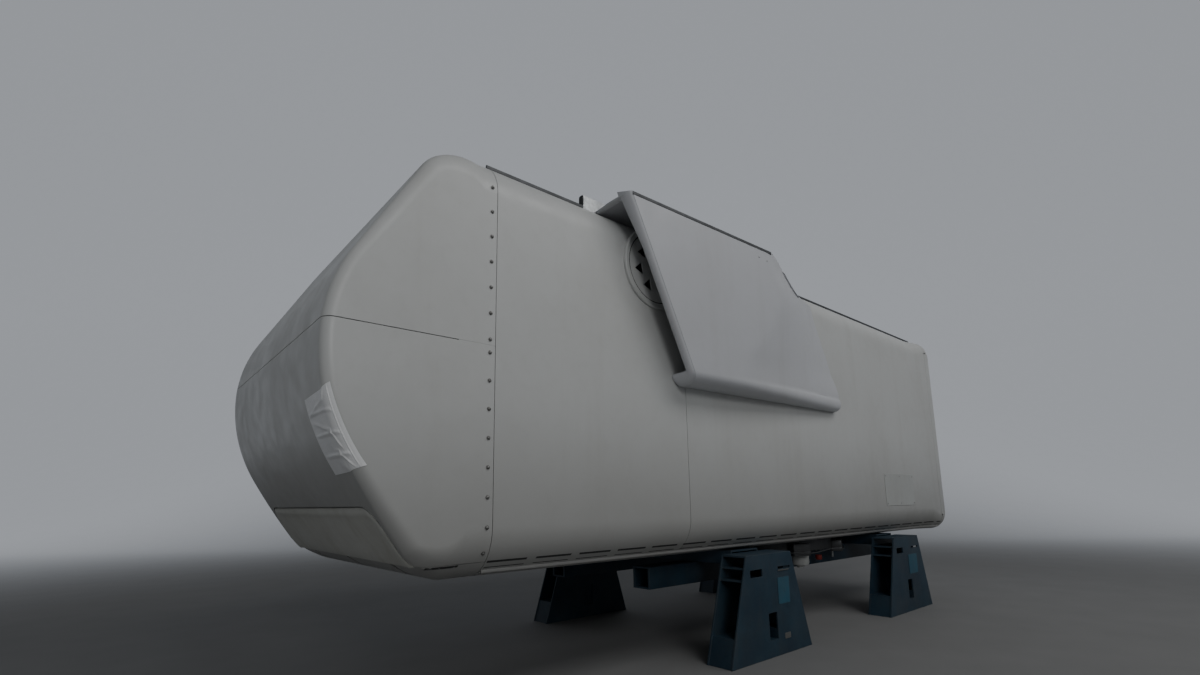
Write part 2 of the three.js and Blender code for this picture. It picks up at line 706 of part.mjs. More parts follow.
// One stand on the right side: two tapered plates, a closed base and cross plates between them.
function stand(centreX) {
  const half = STAND.baseLength / 2;
  const topHalf = STAND.topLength / 2;
  const lean = (half - topHalf) / STAND.height;
  const halfAt = (z) => half - lean * z;
  const outer = -STAND.outer;
  const inner = outer + STAND.thickness;
  const face = polygon([
    [centreX - half, 0], [centreX + half, 0], [centreX + topHalf, STAND.height], [centreX - topHalf, STAND.height],
  ]);
  const level = (z, thickness, inset) => {
    const low = halfAt(z) - inset;
    const high = halfAt(z + thickness) - inset;
    const band = polygon([
      [centreX - low, z], [centreX + low, z], [centreX + high, z + thickness], [centreX - high, z + thickness],
    ]);
    return plateAlongY(band, [outer + STAND_INSET.side, inner - STAND_INSET.side]);
  };
  const base = level(0, STAND.baseBox, STAND_INSET.base);
  const shell = joined(
    plateAlongY(face, [outer, outer + STAND.plate]),
    plateAlongY(face, [inner - STAND.plate, inner]),
    base,
    ...STAND_WEBS.map((z) => level(z, STAND.plate, STAND_INSET.web)),
    level(STAND.height - STAND.plate, STAND.plate, 0),
  );
  return STAND_HOLES.reduce((whole, { x, z }) => whole.subtract(
    box([centreX + x[0], centreX + x[1]], [outer - PAST, inner + PAST], z),
  ), shell);
}

function material(color, roughness, metalness) {
  return new THREE.MeshStandardMaterial({ color, roughness, metalness });
}

const FINISH = {
  gelcoat: () => material(0xd9dad8, 0.4, 0),
  blue_paint: () => material(0x27506b, 0.5, 0.2),
  dark_steel: () => material(0x3a3f42, 0.6, 0.5),
  galvanised: () => material(0xa6abad, 0.45, 0.8),
  machined: () => material(0x9a9d9f, 0.35, 0.9),
  grey_plastic: () => material(0xb4b6b3, 0.5, 0),
};

const nacelle = new THREE.Group();

function place(name, solid, finish) {
  const mesh = new THREE.Mesh(geometryOf(solid), FINISH[finish]());
  mesh.name = name;
  nacelle.add(mesh);
}

function placePair(name, solid, finish) {
  place(`${name}_right`, solid, finish);
  place(`${name}_left`, mirrored(solid), finish);
}

// Housing
place('rear_cap_upper', rearCapUpper(), 'gelcoat');
place('rear_cap_lower', rearCapLower(), 'gelcoat');
place('rear_floor_panel', rearFloorPanel(), 'gelcoat');
place('rear_hatch', rearHatch(), 'gelcoat');
for (const name of Object.keys(HINGE_PLACES)) place(`hatch_hinge_pin_${name}`, hingePin(name), 'machined');

const REAR_SPAN = [CAP_JOINT_X, PANEL_JOINT_X];
const FRONT_SPAN = [PANEL_JOINT_X, FRONT_JOINT_X];
const towerWay = barAlongZ(YAW_RING.x, 0, YAW_RING.inner, [FLOOR_Z - 100, FLOOR_Z + 100]);
place('roof_panel_rear', roofPanel(REAR_SPAN), 'gelcoat');
place('roof_panel_front', roofPanel(FRONT_SPAN), 'gelcoat');
placePair('side_wall_rear', sideWall(REAR_SPAN).subtract(ventHole()), 'gelcoat');
placePair('side_wall_front', sideWall(FRONT_SPAN), 'gelcoat');
place('floor_panel_rear', floorPanel(REAR_SPAN), 'gelcoat');
place('floor_panel_front', floorPanel(FRONT_SPAN).subtract(towerWay), 'gelcoat');
place('front_wall', frontWall(), 'gelcoat');
place('front_collar', frontCollar(), 'gelcoat');
place('rotor_flange', rotorFlange(), 'machined');

// Covers, vents and rails
placePair('scoop_cover', scoopCover(), 'gelcoat');
placePair('scoop_top_rail', scoopTopRail(0), 'dark_steel');
placePair('vent_guard', ventGuard(), 'gelcoat');
placePair('roof_edge_rail_rear', railOnRoofEdge(EDGE_RAIL.rearX, EDGE_RAIL), 'dark_steel');
placePair('roof_edge_rail_front', railOnRoofEdge(EDGE_RAIL.frontX, EDGE_RAIL), 'dark_steel');
placePair('roof_rail', roofRail(), 'galvanised');
placePair('side_cover', sideCover(), 'grey_plastic');

// Underframe and stands
place('yaw_ring', yawRing(), 'machined');
placePair('girder', girder(), 'blue_paint');
place('cross_bearer_rear', crossBearer(STAND_X.rear), 'blue_paint');
place('cross_bearer_front', crossBearer(STAND_X.front), 'blue_paint');
placePair('stand_rear', stand(STAND_X.rear), 'blue_paint');
placePair('stand_front', stand(STAND_X.front), 'blue_paint');

export default nacelle;
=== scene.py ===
# %% [markdown]
# # A wind turbine nacelle on its transport stands
# The nacelle is the machine house that sits on a wind turbine's tower. Its shell is moulded from
# glass fibre and finished with a white gelcoat. Here it waits in a yard on four blue steel stands.
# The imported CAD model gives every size. This lesson dresses it: smooth moulded panels, joints,
# bolts, worn paint and light. The first cell loads the CAD model as a fixed frame.

# %% Load the frame
import json
import bpy
import bmesh
import numpy as np
from mathutils import Matrix, Vector

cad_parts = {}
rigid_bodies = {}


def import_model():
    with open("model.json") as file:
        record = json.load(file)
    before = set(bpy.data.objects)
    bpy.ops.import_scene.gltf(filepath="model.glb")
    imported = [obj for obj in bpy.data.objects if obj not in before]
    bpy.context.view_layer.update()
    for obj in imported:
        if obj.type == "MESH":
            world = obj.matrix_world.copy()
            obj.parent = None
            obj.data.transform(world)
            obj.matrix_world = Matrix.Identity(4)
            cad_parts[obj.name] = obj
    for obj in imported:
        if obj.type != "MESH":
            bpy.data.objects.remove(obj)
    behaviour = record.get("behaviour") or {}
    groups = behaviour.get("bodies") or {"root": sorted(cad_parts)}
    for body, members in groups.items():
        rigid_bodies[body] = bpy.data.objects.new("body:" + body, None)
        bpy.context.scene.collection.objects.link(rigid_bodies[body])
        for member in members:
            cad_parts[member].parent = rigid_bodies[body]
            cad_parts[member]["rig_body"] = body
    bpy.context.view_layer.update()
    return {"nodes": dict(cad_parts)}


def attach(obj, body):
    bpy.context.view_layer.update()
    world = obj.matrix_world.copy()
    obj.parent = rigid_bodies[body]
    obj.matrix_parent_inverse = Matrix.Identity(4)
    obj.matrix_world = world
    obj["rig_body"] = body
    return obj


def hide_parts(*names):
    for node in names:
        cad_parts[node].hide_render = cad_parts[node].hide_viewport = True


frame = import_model()

# %% [markdown]
# ## Camera
# The view is a wide one from eye height, at the rear right corner. Its place and turn come from
# the straight edges of the housing. The frame is cropped at its foot, so the lens is shifted a
# little upwards, as on a view camera. A shift keeps the upright edges as they are.

# %% Camera
EYE = Vector((-6.237, -5.26, 1.626))
YAW, PITCH, ROLL = np.radians([41.0, 9.65, -0.9])
FOCAL_PIXELS, FRAME_WIDTH, CENTRE_DROP = 569.0, 1200.0, 67.5
SENSOR_WIDTH = 36.0


def in_scene(name, data):
    """A new object that shows this data, linked to the scene."""
    made = bpy.data.objects.new(name, data)
    bpy.context.scene.collection.objects.link(made)
    return made


forward = np.array([np.sin(YAW) * np.cos(PITCH), np.cos(YAW) * np.cos(PITCH), np.sin(PITCH)])
level = np.array([np.cos(YAW), -np.sin(YAW), 0.0])
upward = np.cross(level, forward)
image_right = np.cos(ROLL) * level + np.sin(ROLL) * upward
image_up = -np.sin(ROLL) * level + np.cos(ROLL) * upward

lens = bpy.data.cameras.new("eye")
lens.sensor_fit = "HORIZONTAL"
lens.sensor_width = SENSOR_WIDTH
lens.lens = FOCAL_PIXELS * SENSOR_WIDTH / FRAME_WIDTH
lens.shift_y = CENTRE_DROP / FRAME_WIDTH
lens.clip_end = 400.0
camera = in_scene("eye", lens)
turn = Matrix(np.column_stack([image_right, image_up, -forward]).tolist()).to_4x4()
camera.matrix_world = Matrix.Translation(EYE) @ turn
bpy.context.scene.camera = camera
print("lens", round(lens.lens, 2), "mm, shift", round(lens.shift_y, 4))

# %% [markdown]
# ## Grids into meshes
# Nearly every piece below is a surface: a rectangular array of points, worked out for whole
# arrays at once. One helper numbers the four-sided faces between neighbouring points, and
# another one joins several such grids into one mesh and merges the points that they share.

# %% Grids and meshes
def grid_faces(rows, columns, first=0):
    """Faces between neighbours: point (i, j) has the number first + i * columns + j."""
    i, j = np.meshgrid(np.arange(rows - 1), np.arange(columns - 1), indexing="ij")
    a = (first + i * columns + j).ravel()
    return np.column_stack([a, a + columns, a + columns + 1, a + 1])


def mesh_from(points, faces, name):
    """Whole arrays go into the mesh in a few calls."""
    mesh = bpy.data.meshes.new(name)
    mesh.vertices.add(len(points))
    mesh.vertices.foreach_set("co", np.asarray(points, np.float32).ravel())
    mesh.loops.add(faces.size)
    mesh.loops.foreach_set("vertex_index", faces.ravel().astype(np.int32))
    mesh.polygons.add(len(faces))
    mesh.polygons.foreach_set("loop_start", np.arange(len(faces), dtype=np.int32) * faces.shape[1])
    mesh.update(calc_edges=True)
    return mesh


def tidy_mesh(mesh, merge=1e-4, outwards=False):
    """Merges shared points, drops faces that have shrunk to nothing, and can turn faces outwards."""
    work = bmesh.new()
    work.from_mesh(mesh)
    bmesh.ops.remove_doubles(work, verts=work.verts, dist=merge)
    bmesh.ops.dissolve_degenerate(work, edges=work.edges, dist=merge)
    loose = [v for v in work.verts if not v.link_faces]
    bmesh.ops.delete(work, geom=loose, context="VERTS")
    if outwards:
        bmesh.ops.recalc_face_normals(work, faces=work.faces)
    work.to_mesh(mesh)
    work.free()


def outward(grid, inside):
    """Turns the grid's columns round if its faces look towards the inner point."""
    along, across_grid = np.diff(grid, axis=0)[:, :-1], np.diff(grid, axis=1)[:-1]
    normal = np.cross(along, across_grid)
    away = grid[:-1, :-1] - np.asarray(inside, float)
    return grid if np.sum(normal * away) >= 0 else grid[:, ::-1]


def smooth_faces(mesh, smooth=True):
    """Shades all faces smooth, or all of them flat."""
    mesh.polygons.foreach_set("use_smooth", np.full(len(mesh.polygons), smooth))


def piece(name, grids, finish, slot=None, body="nacelle", smooth=True,
          inside=(0, 0, 2.7), outwards=False, merge=1e-4):
    """Joins grids of points, each rows x columns x 3, into one named piece on a body. Their faces
    look away from an inner point, or are turned outwards as a whole where the piece is closed."""
    points, faces, first = [], [], 0
    for grid in grids:
        rows, columns = grid.shape[:2]
        points.append(outward(grid, inside).reshape(-1, 3))
        faces.append(grid_faces(rows, columns, first))
        first += rows * columns
    mesh = mesh_from(np.concatenate(points), np.concatenate(faces), name)
    tidy_mesh(mesh, merge, outwards)
    smooth_faces(mesh, smooth)
    mesh.materials.append(finish)
    made = in_scene(name, mesh)
    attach(made, body)
    return made


def mirrored(grid):
    """The same grid on the left side. Its columns are turned round, so it still faces outwards."""
    return (grid * [1.0, -1.0, 1.0])[:, ::-1]


def pair(grid):
    """The grid on the right side and on the left side."""
    return [grid, mirrored(grid)]


def between(a, b, share):
    """The point that lies this share of the way from a to b."""
    return a + (b - a) * share


def strip_between(a, b, shares):
    """A grid between two curves of equal count, with a column for each share of the way."""
    return between(a[:, None], b[:, None], np.asarray(shares)[None, :, None])


def ease(t):
    """A smooth step: 3 t^2 - 2 t^3, held at 0 before and at 1 after."""
    t = np.clip(t, 0.0, 1.0)
    return t * t * (3.0 - 2.0 * t)


print("mesh helpers ready")

# %% [markdown]
# ## Shared effects
# Gelcoat, paint and steel all gather dust and run-off, and all have a fine grain. Each effect is
# a node group with named inputs and outputs, built once. A material places it with its own values.

# %% A helper for node groups
def feed(tree, value, socket):
    """Puts a number or a colour on a socket, or joins another node's output to it."""
    if isinstance(value, tuple) and socket.type == "RGBA":
        socket.default_value = value + (1.0,)
    elif isinstance(value, (int, float, tuple)):
        socket.default_value = value
    else:
        tree.links.new(value, socket)


def plug(tree, node, **sockets):
    """Feeds a node's inputs by name. An underscore stands for a space."""
    for label, value in sockets.items():
        feed(tree, value, node.inputs[label.replace("_", " ")])
    return node


def add(tree, kind, **settings):
    """A shader node. Words with a capital letter feed its inputs and the others set it up."""
    node = tree.nodes.new("ShaderNode" + kind)
    for label, value in settings.items():
        if label[0].isupper():
            plug(tree, node, **{label: value})
        else:
            setattr(node, label, value)
    return node


def new_group(name, outputs, **inputs):
    """An empty group. Its inputs have start values, and a tuple or the name Colour is a colour."""
    group = bpy.data.node_groups.new(name, "ShaderNodeTree")
    for label, value in inputs.items():
        colour = isinstance(value, tuple)
        kind = "NodeSocketColor" if colour else "NodeSocketFloat"
        socket = group.interface.new_socket(label.replace("_", " "), in_out="INPUT", socket_type=kind)
        socket.default_value = value + (1.0,) if colour else value
    for label in outputs:
        kind = "NodeSocketColor" if label == "Colour" else "NodeSocketFloat"
        group.interface.new_socket(label, in_out="OUTPUT", socket_type=kind)
    return group, group.nodes.new("NodeGroupInput"), group.nodes.new("NodeGroupOutput")


def object_place(tree):
    """The object's own coordinates."""
    return add(tree, "TexCoord").outputs["Object"]


def noise(tree, place, scale, detail=3.0, roughness=0.5, stretch=(1.0, 1.0, 1.0)):
    """Noise on the object's own coordinates, stretched along its axes."""
    stretched = add(tree, "Mapping", Scale=stretch, Vector=place).outputs["Vector"]
    node = add(tree, "TexNoise", Scale=scale, Detail=detail, Roughness=roughness, Vector=stretched)
    return node.outputs["Fac"]


def ramp(tree, value, low, high, to_low=0.0, to_high=1.0):
    """Maps low..high to to_low..to_high with smooth ends."""
    node = add(tree, "MapRange", interpolation_type="SMOOTHSTEP", Value=value,
               From_Min=low, From_Max=high, To_Min=to_low, To_Max=to_high)
    return node.outputs["Result"]


def sums(tree, operation, *values):
    """Adds, multiplies or otherwise joins two values. Either may be a plain number."""
    node = add(tree, "Math", operation=operation)
    for socket, value in zip(node.inputs, values):
        feed(tree, value, socket)
    return node.outputs[0]


def blend_colours(tree, share, first, second):
    """One colour laid over another by a share. The three sockets are numbers 0, 6 and 7."""
    node = add(tree, "Mix", data_type="RGBA")
    for number, value in ((0, share), (6, first), (7, second)):
        feed(tree, value, node.inputs[number])
    return node.outputs[2]


print("node helpers ready")

# %% [markdown]
# ### Weathering
# Rain carries dust down a shell and leaves faint upright streaks and broad cloudy patches. The
# group mixes a soft noise with one that is drawn out along Z, and gives the tinted colour and the
# mask, which a material can also use to make the dusty parts duller.

# %% Weathering group
weather, entry, leave = new_group(
    "weathering", ["Colour", "Mask"],
    Colour=(0.8, 0.8, 0.8), Dirt=(0.2, 0.18, 0.15), Amount=0.2, Size=1.0)
scaled = add(weather, "VectorMath", operation="SCALE",
             Vector=object_place(weather), Scale=entry.outputs["Size"]).outputs[0]
clouds = ramp(weather, noise(weather, scaled, 0.9, 4.0, 0.55), 0.35, 0.75)
streaks = ramp(weather, noise(weather, scaled, 3.0, 4.0, 0.6, (1.0, 1.0, 0.09)), 0.48, 0.78)
fine = ramp(weather, noise(weather, scaled, 14.0, 3.0, 0.6), 0.45, 0.8)
mask = 0.0
for part, weight in ((clouds, 0.45), (streaks, 0.4), (fine, 0.15)):
    mask = sums(weather, "ADD", mask, sums(weather, "MULTIPLY", part, weight))
mask = sums(weather, "MULTIPLY", mask, entry.outputs["Amount"])
tinted = blend_colours(weather, mask, entry.outputs["Colour"], entry.outputs["Dirt"])
plug(weather, leave, Colour=tinted, Mask=mask)
print("weathering group", len(weather.nodes), "nodes")

# %% [markdown]
# ### Surface grain
# A moulded or painted face is never quite flat. The group adds a slow wave, as a mould leaves it,
# and a fine orange-peel grain. It gives a height, for a Bump node, and a small change in gloss.

# %% Grain group
grain, entry, leave = new_group(
    "surface_grain", ["Height", "Gloss"], Wave=1.0, Wave_Size=1.2, Grain=0.1, Grain_Size=120.0)
place = object_place(grain)
heights = []
for kind, detail in (("Wave", 1.0), ("Grain", 2.0)):
    bumps = add(grain, "TexNoise", Detail=detail, Vector=place, Scale=entry.outputs[kind + " Size"])
    heights.append(sums(grain, "MULTIPLY", bumps.outputs["Fac"], entry.outputs[kind]))
plug(grain, leave, Height=sums(grain, "ADD", *heights), Gloss=noise(grain, place, 6.0, 4.0, 0.65))
print("grain group", len(grain.nodes), "nodes")

# %% [markdown]
# ### Worn edges
# Paint chips first along edges. The Bevel node gives the normal that a rounded edge would have.
# Where that differs from the real normal there is an edge, and noise breaks the band into chips.

# %% Edge wear group
wear, entry, leave = new_group("edge_wear", ["Mask"], Width=0.012, Amount=1.0, Size=25.0)
rounded = add(wear, "Bevel", samples=4, Radius=entry.outputs["Width"])
surface = add(wear, "NewGeometry")
match = add(wear, "VectorMath", operation="DOT_PRODUCT", Vector=rounded.outputs["Normal"])
feed(wear, surface.outputs["Normal"], match.inputs[1])
edge = ramp(wear, match.outputs["Value"], 1.0, 0.82)
chips = add(wear, "TexNoise", Detail=5.0, Roughness=0.7,
            Vector=object_place(wear), Scale=entry.outputs["Size"]).outputs["Fac"]
broken = sums(wear, "MULTIPLY", edge, ramp(wear, chips, 0.38, 0.62))
worn = sums(wear, "MAXIMUM", broken, ramp(wear, chips, 0.66, 0.7, 0.0, 0.7))
plug(wear, leave, Mask=sums(wear, "MULTIPLY", worn, entry.outputs["Amount"]))
print("edge wear group", len(wear.nodes), "nodes")

# %% [markdown]
# ## Finishes
# Each finish is one Principled shader. The groups above feed its colour, roughness and normal, and
# numbers that are the same all over stand on the shader's own sockets.

# %% A helper for finishes
def finish_base(name, **sockets):
    """A material with its Principled shader, whose plain numbers are set on its own sockets."""
    material = bpy.data.materials.new(name)
    material.use_nodes = True
    tree = material.node_tree
    return material, tree, plug(tree, tree.nodes["Principled BSDF"], **sockets)


def use(tree, group, **values):
    """Places a shared group and feeds its named inputs."""
    return plug(tree, add(tree, "Group", node_tree=group), **values)


def bump(tree, shader, height, distance):
    """Turns a height into a normal for the shader."""
    node = add(tree, "Bump", Strength=1.0, Distance=distance, Height=height)
    plug(tree, shader, Normal=node.outputs["Normal"])


# A dark tint for the lower part of the shell: road dust, and painted shade of the lower wall.
ROAD_DUST_AND_LOW_SHADE = (0.20, 0.195, 0.18)


def moulded(name, colour, dirt, amount, roughness, wave=0.004, size=0.8, low_dust_and_shade=0.0):
    """Gelcoat or another moulded finish: a weathered colour, a slow wave and a fine peel. Low dust and
    shade is a darker tint on the lower part, more towards the ground: road dust and painted shade."""
    material, tree, shader = finish_base(name, IOR=1.5)
    weathered = use(tree, weather, Colour=colour, Dirt=dirt, Amount=amount, Size=size)
    shown = weathered.outputs["Colour"]
    # Darker towards the ground: road dust, and painted shade of the lower wall.
    if low_dust_and_shade:
        split = add(tree, "SeparateXYZ", Vector=object_place(tree))
        share = ramp(tree, split.outputs["Z"], 2.7, 1.1, 0.0, low_dust_and_shade)
        shown = blend_colours(tree, share, shown, ROAD_DUST_AND_LOW_SHADE)
    skin_grain = use(tree, grain, Wave=1.0, Wave_Size=0.8, Grain=0.02, Grain_Size=90.0)
    gloss = ramp(tree, skin_grain.outputs["Gloss"], 0.3, 0.7, roughness - 0.06, roughness + 0.08)
    dull = sums(tree, "MULTIPLY", weathered.outputs["Mask"], 0.3)
    plug(tree, shader, Base_Color=shown, Roughness=sums(tree, "ADD", gloss, dull))
    bump(tree, shader, skin_grain.outputs["Height"], wave)
    return material


gelcoat = moulded("gelcoat", (0.60, 0.61, 0.60), (0.33, 0.31, 0.27), 0.35, 0.38, low_dust_and_shade=0.55)
# The scoop's gelcoat is a little bluer than the shell's: painted reflection of the sky on its flat
# face.
scoop_sky_reflection_gelcoat = moulded("scoop_sky_reflection_gelcoat", (0.575, 0.585, 0.61), (0.36, 0.35, 0.33), 0.3, 0.45)
cover_plastic = moulded(
    "cover_plastic", (0.475, 0.488, 0.478), (0.33, 0.32, 0.29), 0.4, 0.5, 0.002, 2.0)
joint_filler = moulded("joint_filler", (0.30, 0.30, 0.29), (0.18, 0.17, 0.16), 0.6, 0.6, 0.002, 3.0)
hatch_gelcoat = moulded(
    "hatch_gelcoat", (0.62, 0.625, 0.585), (0.34, 0.33, 0.26), 0.6, 0.5, 0.005, 1.6)
print("moulded finishes", gelcoat.name, scoop_sky_reflection_gelcoat.name, cover_plastic.name)

# %% Painted and bare steel
def worn_paint(name, colour, faded, under):
    """Blue paint with faded patches, chips along the edges that show the steel, and dust."""
    material, tree, shader = finish_base(name, IOR=1.5)
    fade = ramp(tree, noise(tree, object_place(tree), 2.5, 5.0, 0.65), 0.35, 0.7)
    paint = blend_colours(tree, fade, colour, faded)
    weathered = use(tree, weather, Colour=paint, Dirt=(0.07, 0.07, 0.065), Amount=0.55, Size=2.5)
    chipped = use(tree, wear, Width=0.012, Amount=0.9, Size=28.0).outputs["Mask"]
    shown = blend_colours(tree, chipped, weathered.outputs["Colour"], under)
    rough = sums(tree, "ADD", 0.5, sums(tree, "MULTIPLY", chipped, 0.3))
    plug(tree, shader, Base_Color=shown, Roughness=rough)
    skin_grain = use(tree, grain, Wave=0.5, Wave_Size=5.0, Grain=0.3, Grain_Size=160.0)
    missing = sums(tree, "MULTIPLY", chipped, 0.5)
    bump(tree, shader, sums(tree, "SUBTRACT", skin_grain.outputs["Height"], missing), 0.0015)
    return material


def bare_steel(name, colour, dirt, roughness, metallic, amount=0.5, spangle=0.0):
    """Steel with a little grime. Spangle draws the crystal facets of zinc."""
    material, tree, shader = finish_base(name, Metallic=metallic)
    shown = colour
    if spangle:
        cells = add(tree, "TexVoronoi", Scale=45.0, Vector=object_place(tree))
        split = add(tree, "SeparateColor", Color=cells.outputs["Color"])
        facets = ramp(tree, split.outputs[0], 0.0, 1.0, 1.0 - spangle, 1.0)
        shown = blend_colours(tree, facets, tuple(0.55 * c for c in colour), colour)
    weathered = use(tree, weather, Colour=shown, Dirt=dirt, Amount=amount, Size=3.0)
    skin_grain = use(tree, grain, Wave=0.2, Wave_Size=8.0, Grain=0.5, Grain_Size=220.0)
    gloss = ramp(tree, skin_grain.outputs["Gloss"], 0.3, 0.7, roughness - 0.08, roughness + 0.12)
    plug(tree, shader, Base_Color=weathered.outputs["Colour"], Roughness=gloss)
    bump(tree, shader, skin_grain.outputs["Height"], 0.001)
    return material


# The blue and its faded blue are darker than the paint's own colour: painted shade, as the steelwork
# stands in the shade under the nacelle.
blue_paint = worn_paint(
    "blue_paint", (0.012, 0.034, 0.058), (0.021, 0.052, 0.080), (0.045, 0.042, 0.038))
dark_steel = bare_steel("dark_steel", (0.10, 0.105, 0.11), (0.05, 0.045, 0.04), 0.5, 0.5)
zinc = bare_steel("zinc", (0.55, 0.57, 0.58), (0.25, 0.25, 0.24), 0.42, 0.85, 0.4, 0.5)
machined_steel = bare_steel("machined_steel", (0.42, 0.42, 0.42), (0.12, 0.10, 0.08), 0.36, 0.9)
dull_steel = bare_steel("dull_steel", (0.27, 0.27, 0.26), (0.08, 0.07, 0.06), 0.5, 0.8)
seal_rubber = bare_steel("seal_rubber", (0.035, 0.036, 0.036), (0.09, 0.085, 0.08), 0.75, 0.0)
print("steel finishes", blue_paint.name, dark_steel.name, zinc.name, machined_steel.name)

# %% [markdown]
# ## Carried-over nodes
# The hinge pins are right as the CAD model has them, and only want a steel finish. The other
# nodes get a plain finish here, and dressed pieces stand for them below.

# %% Finishes for the CAD nodes
for name, node in frame["nodes"].items():
    node.data.materials.clear()
    node.data.materials.append(machined_steel if "pin" in name else gelcoat)
print("finished", len(frame["nodes"]), "nodes")

# %% [markdown]
# ## The housing as one formula
# Seen from the side, the shell is a closed path of lines and arcs: up the rear flank, over the
# roof bend, along the roof, round the front, back along the floor and up the undercut. Across its
# width it is flat, with a rounded edge at each side whose radius changes slowly along the path.
# So a point of the shell needs only two numbers: t along the path and c across the width.

# %% The side path
HALF_WIDTH = 1.55
ROOF_Z = 4.43
FLOOR_Z = 1.08
WAIST_Z = 2.70
REAR_X = -5.30
FRONT_X = 5.113
FLANK_RADIUS, BEND_RADIUS, FRONT_RADIUS = 1.26, 0.55, 0.3
UPPER_CUT, MIDDLE_CUT = 1.6, 6.83
BLEND = 0.4


def sine(degrees):
    """The sine of an angle in degrees."""
    return np.sin(np.radians(degrees))


def cosine(degrees):
    """The cosine of an angle in degrees."""
    return np.cos(np.radians(degrees))


lower_cut = WAIST_Z - FLOOR_Z - UPPER_CUT * sine(30) - MIDDLE_CUT * (sine(36) - sine(30))
lower_cut /= 1.0 - sine(36)
flank = (ROOF_Z - WAIST_Z - FLANK_RADIUS * sine(30) - BEND_RADIUS * (1 - cosine(60))) / sine(60)
roof_rear = REAR_X + FLANK_RADIUS * (1 - cosine(30)) + flank * cosine(60) + BEND_RADIUS * sine(60)
floor_rear = REAR_X + UPPER_CUT * (1 - cosine(30))
floor_rear += MIDDLE_CUT * (cosine(30) - cosine(36)) + lower_cut * cosine(36)
front_start = FRONT_X - FRONT_RADIUS
# turn in degrees, radius of the turn or length of the line, edge radius where the segment ends
segments = np.array([
    (30, FLANK_RADIUS, 0.078),
    (0, flank, 0.1248),
    (60, BEND_RADIUS, 0.35),
    (0, BLEND, 0.35),
    (0, front_start - roof_rear - 2 * BLEND, 0.35),
    (0, BLEND, 0.24),
    (90, FRONT_RADIUS, 0.20),
    (0, ROOF_Z - FLOOR_Z - 2 * FRONT_RADIUS, 0.20),
    (90, FRONT_RADIUS, 0.24),
    (0, BLEND, 0.38),
    (0, front_start - floor_rear - BLEND, 0.38),
    (54, lower_cut, 0.11),
    (6, MIDDLE_CUT, 0.078),
    (30, UPPER_CUT, 0.078),
])
turns = np.radians(segments[:, 0])
heading0 = np.pi / 2 - np.concatenate([[0], np.cumsum(turns)[:-1]])
radius_of = np.where(turns > 0, segments[:, 1], 0.0)
length_of = np.where(turns > 0, 0.0, segments[:, 1])
heading1 = heading0 - turns
step_x = radius_of * (np.sin(heading0) - np.sin(heading1)) + length_of * np.cos(heading0)
step_z = radius_of * (np.cos(heading1) - np.cos(heading0)) + length_of * np.sin(heading0)
start_x = REAR_X + np.concatenate([[0], np.cumsum(step_x)[:-1]])
start_z = WAIST_Z + np.concatenate([[0], np.cumsum(step_z)[:-1]])
edge1 = segments[:, 2]
edge0 = np.roll(edge1, 1)
ROUND = len(segments)


def side_path(t):
    """On a line the point moves evenly. On an arc the heading h turns evenly, and
    x = x0 + r (sin h0 - sin h), z = z0 + r (cos h - cos h0). The inward normal is (sin h, -cos h)."""
    t = np.mod(t, ROUND)
    k = np.minimum(t.astype(int), ROUND - 1)
    f = t - k
    h = heading0[k] - turns[k] * f
    x = start_x[k] + radius_of[k] * (np.sin(heading0[k]) - np.sin(h)) + length_of[k] * f * np.cos(h)
    z = start_z[k] + radius_of[k] * (np.cos(h) - np.cos(heading0[k])) + length_of[k] * f * np.sin(h)
    return x, z, np.sin(h), -np.cos(h), between(edge0[k], edge1[k], f)


def skin(t, c, lift=0.0):
    """Point of the shell. For |c| <= 1 it is flat across: y = c (half width - edge radius e).
    For |c| from 1 to 2 it runs round the edge, a = 90 (2 - |c|) degrees from the side wall:
    y = half width - e (1 - cos a), and it drops inwards by e (1 - sin a). Lift moves it outwards."""
    t, c = np.broadcast_arrays(np.asarray(t, float), np.asarray(c, float))
    x, z, inward_x, inward_z, e = side_path(t)
    a = np.pi / 2 * np.clip(2.0 - np.abs(c), 0.0, 1.0)
    flat = np.minimum(np.abs(c), 1.0) * (HALF_WIDTH - e)
    y = np.sign(c) * (flat + (e + lift) * np.cos(a))
    drop = e - (e + lift) * np.sin(a)
    return np.stack([x + drop * inward_x, y, z + drop * inward_z], -1)


def across(t, y):
    """The c of a given y: the inverse of the line above."""
    e = side_path(t)[4]
    away = HALF_WIDTH - np.abs(y)
    angle = np.degrees(np.arccos(np.clip(1.0 - away / e, 0.0, 1.0)))
    rounded = 2.0 - angle / 90.0
    return np.sign(y) * np.where(away < e, rounded, np.abs(y) / (HALF_WIDTH - e))


def t_where(axis, value, c, low, high):
    """Halves the range of t until the shell's point has this coordinate (0 for x, 2 for z)."""
    c = np.asarray(c, float)
    low, high = np.full(c.shape, float(low)), np.full(c.shape, float(high))
    rising = skin(high, c)[..., axis] > skin(low, c)[..., axis]
    for _ in range(40):
        middle = (low + high) / 2
        above = skin(middle, c)[..., axis] > value
        high = np.where(above == rising, middle, high)
        low = np.where(above == rising, low, middle)
    return (low + high) / 2


print("roof starts at x", round(start_x[3], 3), "and the floor ends at x", round(start_x[11], 3))

# %% [markdown]
# ## Panels
# The shell is made of large mouldings that meet at joints a few millimetres wide. Every panel is
# a patch of the one formula, between the curves where two planes cut the shell. Solidify then
# gives each patch its wall, and a filler or a seal lies a little below each joint. A flat side is
# filled by straight lines from the curved edge to the far corner of the panel.

